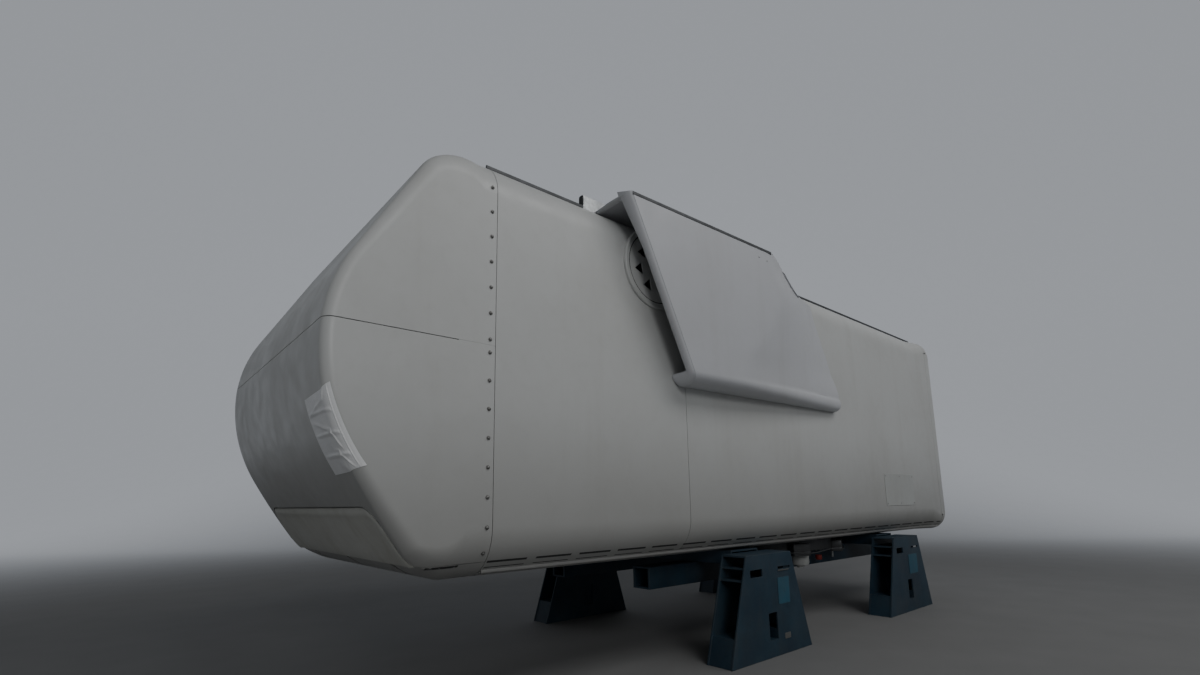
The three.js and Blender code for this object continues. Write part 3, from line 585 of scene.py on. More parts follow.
# %% Panel edges and helpers
JOINT = 0.006
WALL = 0.02
CAP_X, PANEL_X, NOSE_X = -4.065, -1.857, 4.783
SEAM_Z, LIP_Z, ROOF_JOINT_Y = 2.814, 1.204, 1.2
HALF_JOINT = JOINT / 2
EDGE_STEPS = np.linspace(0.0, 1.0, 11)
MIDDLE = np.array([-0.985, -0.9, -0.5, 0.0, 0.5, 0.9, 0.985])
# Across the whole width: round the right edge, along the flat and round the left edge
WHOLE = np.concatenate([EDGE_STEPS - 2.0, MIDDLE, 1.0 + EDGE_STEPS])
FAN = np.array([0.0, 0.01, 0.1, 0.4, 0.7, 1.0])
# Ranges of t that hold the roof, the floor, the joint of the rear cap and the undercut
ROOF_RANGE, FLOOR_RANGE = (2.6, 5.99), (8.9, 11.8)
REAR_RANGE, CUT_RANGE = (10.6, 11.8), (10.5, 13.9)


def rows_between(t0, t1, rows):
    """A grid of t: each column runs evenly from its own start to its own end."""
    return between(t0[None, :], t1[None, :], np.linspace(0, 1, rows)[:, None])


def fan_to(curve, corner):
    """Straight lines from the points of a curve to one corner."""
    return strip_between(curve, np.asarray(corner)[None], FAN)


def modify(made, name, kind, **values):
    """Adds a modifier with these values."""
    modifier = made.modifiers.new(name, kind)
    for label, value in values.items():
        setattr(modifier, label, value)


def walled(name, grids, *nodes, finish=gelcoat, depth=WALL, **options):
    """An open patch with its wall, on the inner side, that stands for its CAD nodes."""
    made = piece(name, grids, finish, "gelcoat", **options)
    modify(made, "wall", "SOLIDIFY", thickness=depth, offset=-1.0)
    modify(made, "crisp_rims", "EDGE_SPLIT", split_angle=np.radians(35))
    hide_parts(*nodes)
    print(made.name, len(made.data.polygons), "faces")


# The name of each side, with what turns a grid of the right side into one of that side
SIDES = (("right", np.copy), ("left", mirrored))


def lip_y(t, z=LIP_Z):
    """How far out the plane at height z cuts the rounded lower edge at t: from
    z = path z + e (1 - sin a) n, with n the upright part of the inward normal."""
    _, path_z, _, inward_z, e = side_path(t)
    s = np.clip(1.0 - (z - path_z) / (e * np.maximum(inward_z, 1e-6)), 0.0, 1.0)
    return np.where(path_z >= z, 0.0, HALF_WIDTH - e * (1.0 - np.sqrt(1.0 - s * s)))


# %% [markdown]
# ### Rear cap
# The cap closes the rear end in two halves with a level seam. The lower half has the opening of
# the hatch: its edge follows an upright plane at each side and is rounded at its upper corners.

# %% The upper half of the rear cap
ts = rows_between(
    t_where(2, SEAM_Z + HALF_JOINT, WHOLE, 0.0, 0.9),
    t_where(0, CAP_X - HALF_JOINT, WHOLE, 2.5, 4.2), 60)
cap_grid = skin(ts, WHOLE[None, :])
near_fan = fan_to(cap_grid[:, 0], [CAP_X - HALF_JOINT, -HALF_WIDTH, SEAM_Z + HALF_JOINT])
walled("rear_cap_upper_skin", [cap_grid] + pair(near_fan), "rear_cap_upper")

# %% The lower half of the rear cap
OPEN_HALF, OPEN_TOP, OPEN_CORNER = 1.437, 1.619, 0.177


def opening_y(t, half=OPEN_HALF, top=OPEN_TOP, corner=OPEN_CORNER):
    """The side edge of the opening at t: upright, then a quarter circle into the top edge."""
    y = np.full(np.shape(t), half)
    for _ in range(8):
        z = skin(t, across(t, y))[..., 2]
        rise = np.clip((z - (top - corner)) / corner, 0.0, 1.0)
        y = half - corner * (1.0 - np.sqrt(1.0 - rise * rise))
    return y


t_top = float(t_where(2, OPEN_TOP, np.array(0.0), 11.0, 14.0))
shares = np.linspace(0.0, 1.0, 15)
rises = 1.0 - (1.0 - np.linspace(0.0, 1.0, 30)) ** 2
beside_t = np.full((len(rises), len(shares)), 11.5)
for _ in range(5):
    inner = across(beside_t, np.maximum(lip_y(beside_t, LIP_Z + HALF_JOINT), opening_y(beside_t)))
    beside_c = -between(2.0, inner, shares[None, :])
    joint_t = t_where(0, CAP_X - HALF_JOINT, beside_c, *REAR_RANGE)
    beside_t = between(joint_t, t_top, rises[:, None])
beside = skin(beside_t, beside_c)
above_c = np.concatenate([beside_c[-1], MIDDLE * 0.85, -beside_c[-1][::-1]])
above_t = rows_between(
    np.full(len(above_c), t_top), t_where(2, SEAM_Z - HALF_JOINT, above_c, 12.5, 14.9), 40)
above = skin(above_t, above_c[None, :])
near_edge = np.concatenate([beside[:, 0], above[1:, 0]])
near_fan = fan_to(near_edge, [CAP_X - HALF_JOINT, -HALF_WIDTH, SEAM_Z - HALF_JOINT])
walled("rear_cap_lower_skin", [above] + pair(beside) + pair(near_fan), "rear_cap_lower")

# %% [markdown]
# ### Hatch and rear floor strip
# The hatch is a leaf in the undercut that swings down on three hinges along its lower edge. Its
# grid is drawn in heights and widths, and the formula is solved for t at each of them.

# %% The hatch leaf
def t_at(z, y, low, high):
    """The t and c where the shell has this height and width: solves for z, then corrects for y."""
    c = across(np.full(np.shape(z), (low + high) / 2), y)
    for _ in range(8):
        t = t_where(2, z, c, low, high)
        c = across(t, y)
    return t, c


LEAF_HALF, LEAF_TOP, LEAF_CORNER, LEAF_WALL, LEAF_FOOT = 1.427, 1.607, 0.17, 0.008, 0.0025
RIM_HEIGHT, RIM_INSET, RIM_HALF = 0.007, 0.042, 0.034
DENT_DEPTH, DENT_WIDTH, DENT_Y, DENT_Z, DENT_FOOT_Z = 0.006, 0.05, -1.07, 1.4, 1.25
heights = np.concatenate([
    np.linspace(LIP_Z + LEAF_FOOT, LEAF_TOP - LEAF_CORNER, 12)[:-1],
    LEAF_TOP - LEAF_CORNER + LEAF_CORNER * np.sin(np.linspace(0.0, np.pi / 2, 12)),
])
rise = np.clip((heights - (LEAF_TOP - LEAF_CORNER)) / LEAF_CORNER, 0.0, 1.0)
leaf_half = LEAF_HALF - LEAF_CORNER * (1.0 - np.sqrt(1.0 - rise * rise))
leaf_y = leaf_half[:, None] * np.sin(np.linspace(-np.pi / 2, np.pi / 2, 41))[None, :]
leaf_z = np.broadcast_to(heights[:, None], leaf_y.shape)
leaf_t, leaf_c = t_at(leaf_z, leaf_y, *CUT_RANGE)
# A raised rim runs along the leaf's edge, and the leaf has one shallow dent near its right end
from_side = leaf_half[:, None] - np.abs(leaf_y)
from_edge = np.minimum(from_side, np.maximum(LEAF_TOP - leaf_z, 0.0))
rim = RIM_HEIGHT * ease(1.0 - np.abs(from_edge - RIM_INSET) / RIM_HALF)
dent_line = leaf_y - DENT_Y + 0.5 * (leaf_z - DENT_Z)
dent = DENT_DEPTH * np.exp(-(dent_line / DENT_WIDTH) ** 2) * ease((leaf_z - DENT_FOOT_Z) / 0.1)
leaf = skin(leaf_t, leaf_c, rim - dent)
walled("rear_hatch_skin", [leaf], "rear_hatch", finish=hatch_gelcoat, depth=LEAF_WALL, body="hatch")

# %% The strip of floor behind the cap's joint
t_lip = float(t_where(2, LIP_Z - HALF_JOINT, np.array(0.0), 10.9, 13.0))
SLOT_START_X, STRIP_DEPTH = -4.365, 0.010
# The set-back runs in at this rate, and fades out at each side over a blend behind a half width
SINK_RATE, CLEAR_HALF, CLEAR_BLEND = 1.6, 1.445, 0.012
t_slot = float(t_where(0, SLOT_START_X, np.array(0.0), 10.9, 12.0))
inner_y = np.array([-1.12, -1.04, -0.96, -0.7, -0.4, -0.04, 0.04, 0.4, 0.7, 0.96, 1.04, 1.12])
edge_share = 1.0 - (1.0 - np.linspace(0, 1, 10)) ** 1.5


def strip_points(t_rows):
    """Rows of t from the cap's joint to the leaf. The columns stand at fixed widths in the middle
    and run out to where the joint's height cuts the rounded edge. Below the leaf the strip is set
    back 10 mm, so that the leaf's foot swings clear of it."""
    share = (t_rows[:, None] - t_rows[0]) / (t_lip - t_rows[0])
    t = np.broadcast_to(t_rows[:, None], (len(t_rows), len(inner_y) + 2 * len(edge_share) - 2)).copy()
    for _ in range(6):
        reach = lip_y(t, LIP_Z - HALF_JOINT).clip(HALF_WIDTH - side_path(t)[4])[:, :1]
        side_y = between(inner_y[-1], reach, edge_share[None, :])
        y = np.concatenate([-side_y[:, ::-1], inner_y[1:-1] + 0 * reach, side_y], 1)
        c = across(t, y)
        joint_t = t_where(0, CAP_X - HALF_JOINT, c, *REAR_RANGE)
        t = between(joint_t, t_lip, share)
    sunk = ease((t - t_slot) / (t_lip - t_slot) * SINK_RATE)
    return skin(t, c, -STRIP_DEPTH * sunk * ease((CLEAR_HALF - np.abs(y)) / CLEAR_BLEND))


t_joint = float(t_where(0, CAP_X - HALF_JOINT, np.array(0.0), *REAR_RANGE))
full_rows = np.concatenate([np.linspace(t_joint, t_slot, 7), np.linspace(t_slot, t_lip, 12)[1:]])
whole_strip = strip_points(full_rows)
first = len(edge_share)
last = whole_strip.shape[1] - 1
strips = [whole_strip[:7]]
for low, high in ((0, first), (first + 1, first + 4), (first + 5, first + 8), (first + 9, last)):
    strips.append(whole_strip[6:, low:high + 1])
walled("rear_floor_skin", strips, "rear_floor_panel")

# %% [markdown]
# ### Side walls
# A side wall runs from the joint on the rounded lower edge, up the flat side, and over the rounded
# upper edge to the roof joint. The rear one has a round hole for the vent. Around the hole the
# grid runs from the circle out to a rectangle, whose points are shared with its neighbours.

# %% Wall columns
ROOF_EDGE = 0.35
UP_ANGLES = np.array([0.0, 9, 18, 27, 36, 45, 53.13, 62, 71, 80])
FLAT_Z = np.array([1.49, 2.0, 2.7, 3.3, 3.7, 4.05])


def wall_columns(x):
    """Points of the right wall at each x: up the lower edge, the flat and the upper edge."""
    x = np.asarray(x, float)[:, None]
    t = np.full((len(x), len(EDGE_STEPS)), 10.5)
    for _ in range(5):
        c = -between(across(t, lip_y(t, LIP_Z + HALF_JOINT)), 2.0, EDGE_STEPS[None, :])
        t = t_where(0, x, c, *FLOOR_RANGE)
    low = skin(t, c)
    flat = np.stack(np.broadcast_arrays(x, -HALF_WIDTH, FLAT_Z[None, :]), -1)
    c_up = np.broadcast_to(-2.0 + UP_ANGLES[None, :] / 90.0, (len(x), len(UP_ANGLES)))
    t = t_where(0, x, c_up, *ROOF_RANGE)
    last = -across(t[:, -1:], np.full((len(x), 1), ROOF_JOINT_Y + HALF_JOINT))
    t_last = t_where(0, x, last, *ROOF_RANGE)
    return np.concatenate([low, flat, skin(t, c_up), skin(t_last, last)], 1)


def ring_patch(border, centre, radius, surface):
    """From a circle out to a closed border: the circle has a point for each border point, at the
    same angle, and straight lines in the drawing plane join the two. Surface lifts them to 3-D."""
    border = np.asarray(border, float)
    away = border - centre
    circle = centre + radius * away / np.linalg.norm(away, axis=1, keepdims=True)
    share = np.array([0.0, 0.03, 0.3, 0.65, 1.0])[:, None, None]
    flat = between(circle[None], border[None], share)
    flat = np.concatenate([flat, flat[:, :1]], 1)
    return surface(flat[..., 0], flat[..., 1])


def upper_wall(x, z):
    """The right wall at (x, z), on the flat or on the rounded upper edge."""
    s = np.clip(1.0 - (ROOF_Z - z) / ROOF_EDGE, 0.0, 1.0)
    return np.stack([x, -HALF_WIDTH + ROOF_EDGE * (1.0 - np.sqrt(1.0 - s * s)), z], -1)


# %% The rear walls, with their round holes
VENT_X, VENT_Z, VENT_RADIUS = -2.275, 3.912, 0.412
PATCH_X = -2.9
rear_steps = np.linspace(CAP_X + HALF_JOINT, -3.97, 6)
rear_part = wall_columns(np.concatenate([rear_steps, [-3.6, -3.2, PATCH_X]]))
vent_part = wall_columns(np.linspace(PATCH_X, PANEL_X - HALF_JOINT, 17))
low_cut = len(EDGE_STEPS) + 3
high_cut = len(EDGE_STEPS) + len(FLAT_Z) + 6
border = np.concatenate([
    vent_part[0, low_cut:high_cut + 1], vent_part[1:, high_cut],
    vent_part[-1, low_cut:high_cut][::-1], vent_part[1:-1, low_cut][::-1],
])[:, [0, 2]]
around = ring_patch(border, np.array([VENT_X, VENT_Z]), VENT_RADIUS, upper_wall)
grids = [rear_part, vent_part[:, :low_cut + 1], vent_part[:, high_cut:], around]
for side, turned in SIDES:
    walled("side_wall_rear_" + side + "_skin", [turned(g) for g in grids], "side_wall_rear_" + side)

# %% The front walls
xs_front = np.concatenate([
    np.linspace(PANEL_X + HALF_JOINT, 4.41, 15), np.linspace(4.45, NOSE_X - HALF_JOINT, 8)])
front_part = wall_columns(xs_front)
for side, turned in SIDES:
    walled("side_wall_front_" + side + "_skin", [turned(front_part)], "side_wall_front_" + side)

# %% [markdown]
# ### Roof and floor
# The roof panels lie between the upper edges, so they are flat. The floor panels take in what is
# left of the lower edges, and the front one has the round way to the tower.

# %% Roof panels
def roof_grid(x0, x1):
    """Flat at the roof's height, a step of x by a step of y."""
    half = ROOF_JOINT_Y - HALF_JOINT
    x, y = np.meshgrid(np.linspace(x0, x1, 9), np.linspace(-1, 1, 7) * half, indexing="ij")
    return np.stack([x, y, np.full(x.shape, ROOF_Z)], -1)


for part, x0, x1 in (("rear", CAP_X, PANEL_X), ("front", PANEL_X, NOSE_X)):
    flat_roof = roof_grid(x0 + HALF_JOINT, x1 - HALF_JOINT)
    walled("roof_" + part + "_skin", [flat_roof], "roof_panel_" + part, smooth=False)

# %% Floor panels
TOWER_X, TOWER_RADIUS = 1.363, 0.95
SIDE_STEPS = np.linspace(0.0, 1.0, 8)


def floor_columns(x):
    """Points of the floor at each x, from the right joint round the edge, flat, to the left one."""
    x = np.asarray(x, float)[:, None]
    t = np.full((len(x), len(SIDE_STEPS)), 10.5)
    for _ in range(5):
        c = -between(across(t, lip_y(t, LIP_Z - HALF_JOINT)), 1.0, SIDE_STEPS[None, :])
        t = t_where(0, x, c, *FLOOR_RANGE)
    right = skin(t, c)
    y = np.array([-1.1, -0.7, 0.0, 0.7, 1.1])
    t = t_where(0, x, 0 * (x + y), *FLOOR_RANGE)
    flat = skin(t, y / (HALF_WIDTH - side_path(t)[4]))
    return np.concatenate([right, flat, mirrored(right)], 1)


def floor_plane(x, y):
    """Flat at the floor's height."""
    return np.stack([x, y, np.full(x.shape, FLOOR_Z)], -1)


rear_floor = floor_columns(np.concatenate([
    np.linspace(CAP_X + HALF_JOINT, -3.97, 5), np.linspace(-3.9, PANEL_X - HALF_JOINT, 7)]))
walled("floor_rear_skin", [rear_floor], "floor_panel_rear")
WAY_REAR_X, WAY_FRONT_X = 0.3, 2.43
before = floor_columns(np.linspace(PANEL_X + HALF_JOINT, WAY_REAR_X, 6))
beside_way = floor_columns(np.linspace(WAY_REAR_X, WAY_FRONT_X, 13))
front_steps = np.linspace(4.41, NOSE_X - HALF_JOINT, 7)
beyond = floor_columns(np.concatenate([[WAY_FRONT_X, 3.4], front_steps]))
k = len(SIDE_STEPS)
border = np.concatenate([
    beside_way[0, k:k + 5], beside_way[1:, k + 4],
    beside_way[-1, k:k + 4][::-1], beside_way[1:-1, k][::-1],
])[:, :2]
around = ring_patch(border, np.array([TOWER_X, 0.0]), TOWER_RADIUS, floor_plane)
grids = [before, beside_way[:, :k + 1], beside_way[:, k + 4:], beyond, around]
walled("floor_front_skin", grids, "floor_panel_front")

# %% [markdown]
# ### Front wall
# The front wall is the round-cornered end that carries the collar of the rotor shaft.

# %% The front wall
SHAFT_Z, COLLAR_RADIUS = 2.85, 0.8503
TOP_T, FOOT_T = 7.0, 8.0
start = t_where(0, NOSE_X + HALF_JOINT, WHOLE, 4.2, 6.5)
end = t_where(0, NOSE_X + HALF_JOINT, WHOLE, 8.5, 9.9)
over = skin(rows_between(start, 0 * WHOLE + TOP_T, 16), WHOLE[None, :])
under = skin(rows_between(0 * WHOLE + FOOT_T, end, 16), WHOLE[None, :])
heights = np.linspace(TOP_T, FOOT_T, 9)
side_strip = skin(heights[:, None], WHOLE[None, :len(EDGE_STEPS)])
inner_c = WHOLE[len(EDGE_STEPS) - 1:-len(EDGE_STEPS) + 1]
top_row, foot_row = skin(TOP_T + 0 * inner_c, inner_c), skin(FOOT_T + 0 * inner_c, inner_c)
left_row, right_row = skin(heights, 1.0 + 0 * heights), skin(heights, -1.0 + 0 * heights)
border = np.concatenate([top_row, left_row[1:], foot_row[::-1][1:], right_row[::-1][1:-1]])[:, 1:]


def front_plane(y, z):
    """Flat at the front wall's x."""
    return np.stack([0 * y + FRONT_X, y, z], -1)


disc = ring_patch(border, np.array([0.0, SHAFT_Z]), COLLAR_RADIUS, front_plane)
curve = np.concatenate([over[:, 0], side_strip[1:, 0], under[1:, 0]])
joint_line = curve * [0.0, 1.0, 1.0] + [NOSE_X + HALF_JOINT, 0.0, 0.0]
cheek = strip_between(curve, joint_line, [0.0, 0.04, 0.5, 1.0])
grids = [over, under] + pair(side_strip) + [disc] + pair(cheek)
walled("front_wall_skin", grids, "front_wall")

# %% [markdown]
# ## Fillers and seals in the joints
# The upright joints are filled with a grey filler, and a dark rubber seal lies in the long ones
# and in the cap's seam. Each is a narrow band of the same shell formula, moved inwards by a lift
# below zero. Near the side walls the seam is filled flush with gelcoat.

# %% Seal bands
SEAL_LIFT, SEAL_HALF = -0.009, 0.014
SEAM_SEAL_END_X, FILLER_LIFT = -4.37, -0.0012


def band(axis, value, c, low, high):
    """Two rows of the shell, a little before and after a cutting plane, moved inwards."""
    rows = [t_where(axis, value + shift, c, low, high) for shift in (-SEAL_HALF, SEAL_HALF)]
    return skin(np.stack(rows), c[None, :], SEAL_LIFT)


def flat_band(xs, zs, lift=SEAL_LIFT):
    """A grid on the flat right side, below the shell's face."""
    xs, zs = np.meshgrid(xs, zs, indexing="ij")
    return np.stack([xs, np.full(xs.shape, -HALF_WIDTH - lift), zs], -1)


hoops = []
edge_c = np.array([-2.0])
for x in (CAP_X, PANEL_X, NOSE_X):
    low = skin(t_where(0, x, edge_c, *FLOOR_RANGE), edge_c)[0, 2]
    high = skin(t_where(0, x, edge_c, *ROOF_RANGE), edge_c)[0, 2]
    upright = flat_band([x - SEAL_HALF, x + SEAL_HALF], [low, high])
    hoops += [band(0, x, WHOLE, *ROOF_RANGE), band(0, x, WHOLE, *FLOOR_RANGE)] + pair(upright)
piece("joint_seal_hoops", hoops, joint_filler)

seam_band = band(2, SEAM_Z, WHOLE, 13.5, 14.9)
seam_side = flat_band([REAR_X + 0.08, SEAM_SEAL_END_X], [SEAM_Z - SEAL_HALF, SEAM_Z + SEAL_HALF])
piece("cap_seam_seal", [seam_band] + pair(seam_side), seal_rubber)
seam_heights = [SEAM_Z - HALF_JOINT, SEAM_Z, SEAM_Z + HALF_JOINT]
filler = flat_band([SEAM_SEAL_END_X, CAP_X - 0.004], seam_heights, FILLER_LIFT)
piece("cap_seam_filler", pair(filler), gelcoat, "gelcoat")


def lower_edge(x, z, lift):
    """Points of the right lower edge at each x, where the plane at height z cuts it."""
    c = np.full(np.shape(x), -1.5)
    for _ in range(6):
        t = t_where(0, x, c, *FLOOR_RANGE)
        c = -across(t, lip_y(t, z))
    return skin(t, c, lift)


seal_x = np.linspace(CAP_X, NOSE_X, 40)
lip_seal = np.stack([lower_edge(seal_x, LIP_Z + shift, SEAL_LIFT) for shift in (-SEAL_HALF, SEAL_HALF)])
roof_x = np.linspace(CAP_X, NOSE_X, 12)
roof_t = t_where(0, roof_x, np.full(12, -0.9), *ROOF_RANGE)
roof_seal = np.stack([
    skin(roof_t, -across(np.full(12, 4.5), np.full(12, ROOF_JOINT_Y + shift)), SEAL_LIFT)
    for shift in (-SEAL_HALF, SEAL_HALF)
])
piece("long_seals", pair(lip_seal) + pair(roof_seal), seal_rubber)
print("seals at", CAP_X, PANEL_X, NOSE_X)

# %% [markdown]
# ## Scoops
# A scoop is a hollow cover on each side wall, open to the rear. Its side face sinks into the wall
# towards its front edge. Its foot is a roll: the face bends under, runs flat towards the wall and
# turns up there. Its points come from four lines: rear edge, front edge, top edge and reach.

# %% The scoop's formulas
REACH, FRONT_REACH, SCOOP_FOOT = 0.27, 0.03, 2.745
REAR_TOP, REAR_FOOT = (-2.814, 4.452), (-2.039, 2.883)
TIP_X, TOP_FRONT_X, SINK_LENGTH = 1.215, -0.527, 0.78
SCOOP_SKIN, LIP_DEPTH = 0.025, 0.03


def scoop_rear_x(z):
    """The rear edge leans back in a straight line."""
    slope = (REAR_TOP[0] - REAR_FOOT[0]) / (REAR_TOP[1] - REAR_FOOT[1])
    return REAR_FOOT[0] + (z - REAR_FOOT[1]) * slope


def scoop_front_x(z):
    """The front edge: the tip, set back smoothly by 0.5 m to the top and a little at the foot."""
    low = np.maximum(2.89 - z, 0.0) / (2.89 - SCOOP_FOOT)
    return TIP_X - 0.5 * ease((z - 3.0) / 1.4) - 0.12 * low ** 3


def scoop_top_z(x):
    """The top edge rises slowly to the front and then sinks smoothly into the roof edge."""
    along = np.clip((x - REAR_TOP[0]) / (TOP_FRONT_X - REAR_TOP[0]), 0.0, 1.0)
    return between(between(4.452, 4.507, along), 4.18, ease((x - TOP_FRONT_X) / SINK_LENGTH))


def scoop_out(x, z):
    """Full reach behind a start line, then fading to the front edge by a power of the share."""
    start = between(between(-1.15, -0.35, ease((z - 2.9) / 1.1)), -0.6, ease((z - 4.0) / 0.4))
    fade = np.clip((x - start) / (scoop_front_x(z) - start), 0.0, 1.0) ** 1.15
    return between(REACH, FRONT_REACH, fade)


def at_side(x, out, z):
    """A point that stands out from the right wall."""
    x, out, z = np.broadcast_arrays(x, out, z)
    return np.stack([x, -HALF_WIDTH - out, z], -1)


# %% The scoop's skin
SOFT, ROLL_RISE = 0.004, 0.122
BLEND_HEIGHT, HOOK_SHARE, HOOK_RISE = 0.40, 0.18, 0.05


def soft_in(x, rear):
    """How far the face turns in near its rear edge: a quarter circle of 4 mm."""
    share = np.clip(1.0 - (x - rear) / SOFT, 0.0, 1.0)
    return SOFT * (1.0 - np.sqrt(1.0 - share * share))


# Shares of the way from the rear edge to the front edge, close together where the edge is soft
u = np.concatenate([[0.0, 0.0002, 0.0008, 0.0018, 0.0033], np.linspace(0.0165, 1.0, 60)])[:, None]


def from_rear(z):
    """The x of these heights, at each share of the way forwards."""
    return between(scoop_rear_x(z), scoop_front_x(z), u)


top_x = from_rear(REAR_TOP[1])
top_z = scoop_top_z(top_x)
foot_z = between(SCOOP_FOOT, SCOOP_FOOT + 0.03, u)
half_rise = between(ROLL_RISE, 0.095, u)
turn_z = foot_z + half_rise
inset = soft_in(top_x, top_x[0])
width = between(REACH, 0.115, np.clip((from_rear(turn_z) + 1.2) / (TIP_X + 1.2), 0.0, 1.0))
bend = 0.55 * width
start_angle = -np.radians(between(0.0, 50.0, ease(u)))
crease_z = turn_z - half_rise * np.sin(start_angle)
crease_out = width - bend + (bend - inset) * np.cos(start_angle)
rows = np.concatenate([[0.0, 0.004, 0.02], np.linspace(0.06, 0.72, 14), np.linspace(0.75, 1.0, 12)])
z = between(top_z, crease_z, rows[None, :])
x = np.concatenate([top_x, from_rear(z)[:, 1:]], 1)
panel_out = scoop_out(x, z) - soft_in(x, scoop_rear_x(z))
side_face = at_side(x, between(crease_out, panel_out, ease((z - crease_z) / BLEND_HEIGHT)), z)

# The roll: the bend under, two points on the flat foot, and the hook that turns up at the wall
under = between(start_angle, np.pi / 2, np.linspace(0.0, 1.0, 16)[None, :])
home = np.linspace(np.pi / 2, np.pi, 8)[None, 1:]
hook = HOOK_SHARE * width
roll_out = np.concatenate([
    width - bend + (bend - inset) * np.cos(under),
    between(width - bend, hook, np.array([[0.33, 0.67]])),
    hook * (1.0 + np.cos(home)),
    0.0 * width,
], 1)
z = np.concatenate([
    turn_z - (half_rise - inset * np.clip(np.sin(under), 0.0, 1.0)) * np.sin(under),
    foot_z + inset + np.zeros((1, 2)),
    foot_z + inset + HOOK_RISE * (1.0 - np.sin(home)),
    turn_z,
], 1)
roll_face = at_side(from_rear(z), roll_out, z)
roll_face[:, 0] = side_face[:, -1]

root = between(-0.42, -0.15, ease((top_x - TOP_FRONT_X) / SINK_LENGTH))
shares = np.array([0.0, 0.5, 0.98, 1.0])[None, :]
top_face = at_side(top_x, between(root, -side_face[:, :1, 1] - HALF_WIDTH, shares), top_z)
front_edge = np.concatenate([side_face[-1], roll_face[-1, 1:]])
front_face = np.stack([front_edge, front_edge * [1, 0, 1] + [0.01, -HALF_WIDTH + 0.03, 0]])
grids = [side_face, roll_face, top_face, front_face]
for side, turned in SIDES:
    inner_point = turned(np.array([[[-0.8, -1.45, 3.6]]]))[0, 0]
    walled("scoop_skin_" + side, [turned(g) for g in grids], "scoop_cover_" + side,
           finish=scoop_sky_reflection_gelcoat, depth=SCOOP_SKIN, inside=inner_point, merge=2e-4)

# %% [markdown]
# ### The scoop's lip
# The rear edge is closed by a lip, a rounded bead that leaves a narrow mouth beside the wall. At
# the foot it follows the roll and ends as a hook. The bead runs between two curves of equal
# count: the outline of the end, and the outline of the mouth.

# %% The lip, its mouth and its horn
BEAD_RISE, LIP_SHIFT, HORN_SHIFT = 0.042, -0.001, -0.012
MOUTH_SINK, MOUTH_REACH = 0.012, (0.125, 0.178)
# Both outlines start on the roof, this far out from the wall: inwards, so it is below zero
INNER_END = -0.4


def outer_outline():
    """(out, z) from the roof edge out along the top, then along the skin's own rear edge."""
    rim = np.concatenate([side_face[0], roll_face[0, 1:]])
    rim = np.stack([-rim[:, 1] - HALF_WIDTH, rim[:, 2]], -1)
    rim[0, 1] = REAR_TOP[1] - 0.001
    run = np.stack([np.linspace(INNER_END, rim[0, 0], 6), np.full(6, rim[0, 1])], -1)
    return np.concatenate([run, rim[1:]])


def inner_outline(top, count, turn_count):
    """The same count of points round the mouth. It widens towards its foot, which lies flat."""
    mouth = SCOOP_FOOT + ROLL_RISE + MOUTH_SINK
    z = np.linspace(top, mouth, count)
    reach = between(*MOUTH_REACH, ease((4.42 - z) / 0.5))
    run = np.stack([np.linspace(INNER_END, reach[0], 6), np.full(6, top)], -1)
    a = np.linspace(0.0, np.pi, turn_count)
    foot = np.stack([reach[-1] * (1.0 + np.cos(a)) / 2, mouth - MOUTH_SINK * np.sin(a / 2)], -1)
    return np.concatenate([run, np.stack([reach, z], -1)[1:], foot[1:]])


outer = outer_outline()
inner = inner_outline(REAR_TOP[1] - SCOOP_SKIN, side_face.shape[1], roll_face.shape[1])


def edge_points(outline, shift):
    """The outline stands on the leaning rear edge, moved forwards by a shift."""
    return at_side(scoop_rear_x(outline[:, 1]) + shift, outline[:, 0], outline[:, 1])


bead_angle = np.linspace(0.0, np.pi, 13)
mouth_edge = edge_points(inner, LIP_SHIFT)
flat_face = strip_between(edge_points(outer, LIP_SHIFT), mouth_edge, (1.0 - np.cos(bead_angle)) / 2)
bulge = np.minimum(BEAD_RISE, 0.48 * np.linalg.norm(outer - inner, axis=1))
face = flat_face - [1.0, 0.0, 0.0] * (np.sin(bead_angle)[:, None] * bulge[:, None, None])
mouth_back = edge_points(inner, LIP_DEPTH)
throat = strip_between(mouth_edge, mouth_back, [0.0, 0.2, 1.0])
back = strip_between(mouth_back, edge_points(outer * [0.96, 1.0], LIP_DEPTH), [0.0, 1.0])
horn = np.array([[0.235, 4.42], [0.235, 4.460], [0.10, 4.500], [0.10, 4.42]])
horn_loop = np.concatenate([horn, horn[:1]])
horn_grids = [np.stack([edge_points(horn_loop, shift) for shift in (HORN_SHIFT, LIP_DEPTH)], 1)]
for shift in (HORN_SHIFT, LIP_DEPTH):
    horn_grids.append(edge_points(horn, shift)[[0, 3, 1, 2]].reshape(2, 2, 3))

for side, turned in SIDES:
    # The lip is open at its back, so each grid is turned by an inner point of its own
    name = "scoop_lip_" + side
    lip = piece(name, [turned(face)], scoop_sky_reflection_gelcoat, "gelcoat", inside=(0, 0, 3.6))
    modify(lip, "crisp_edges", "EDGE_SPLIT", split_angle=np.radians(35))
    middle = turned(np.array([[[-3, -1.72, 4.2]]]))[0, 0]
    lining = piece(name + "_throat", [turned(throat), turned(back)], scoop_sky_reflection_gelcoat, "gelcoat",
                   inside=middle, smooth=False)
    modify(lining, "wall", "SOLIDIFY", thickness=0.002)
    tooth = piece(name + "_horn", [turned(g) for g in horn_grids], scoop_sky_reflection_gelcoat, "gelcoat",
                  smooth=False, outwards=True)
    modify(tooth, "soft_edges", "BEVEL", width=0.004, segments=2)
print("scoop grid", side_face.shape)

# %% [markdown]
# ## Pieces that are repeated
# Bolt heads, knuckles and small blocks come from two formulas. A turned piece is a profile of
# (distance along its axis, radius) carried round the axis. A rounded block is a superellipsoid:
# the sine and cosine of a sphere raised to a small power, which flattens its six sides.

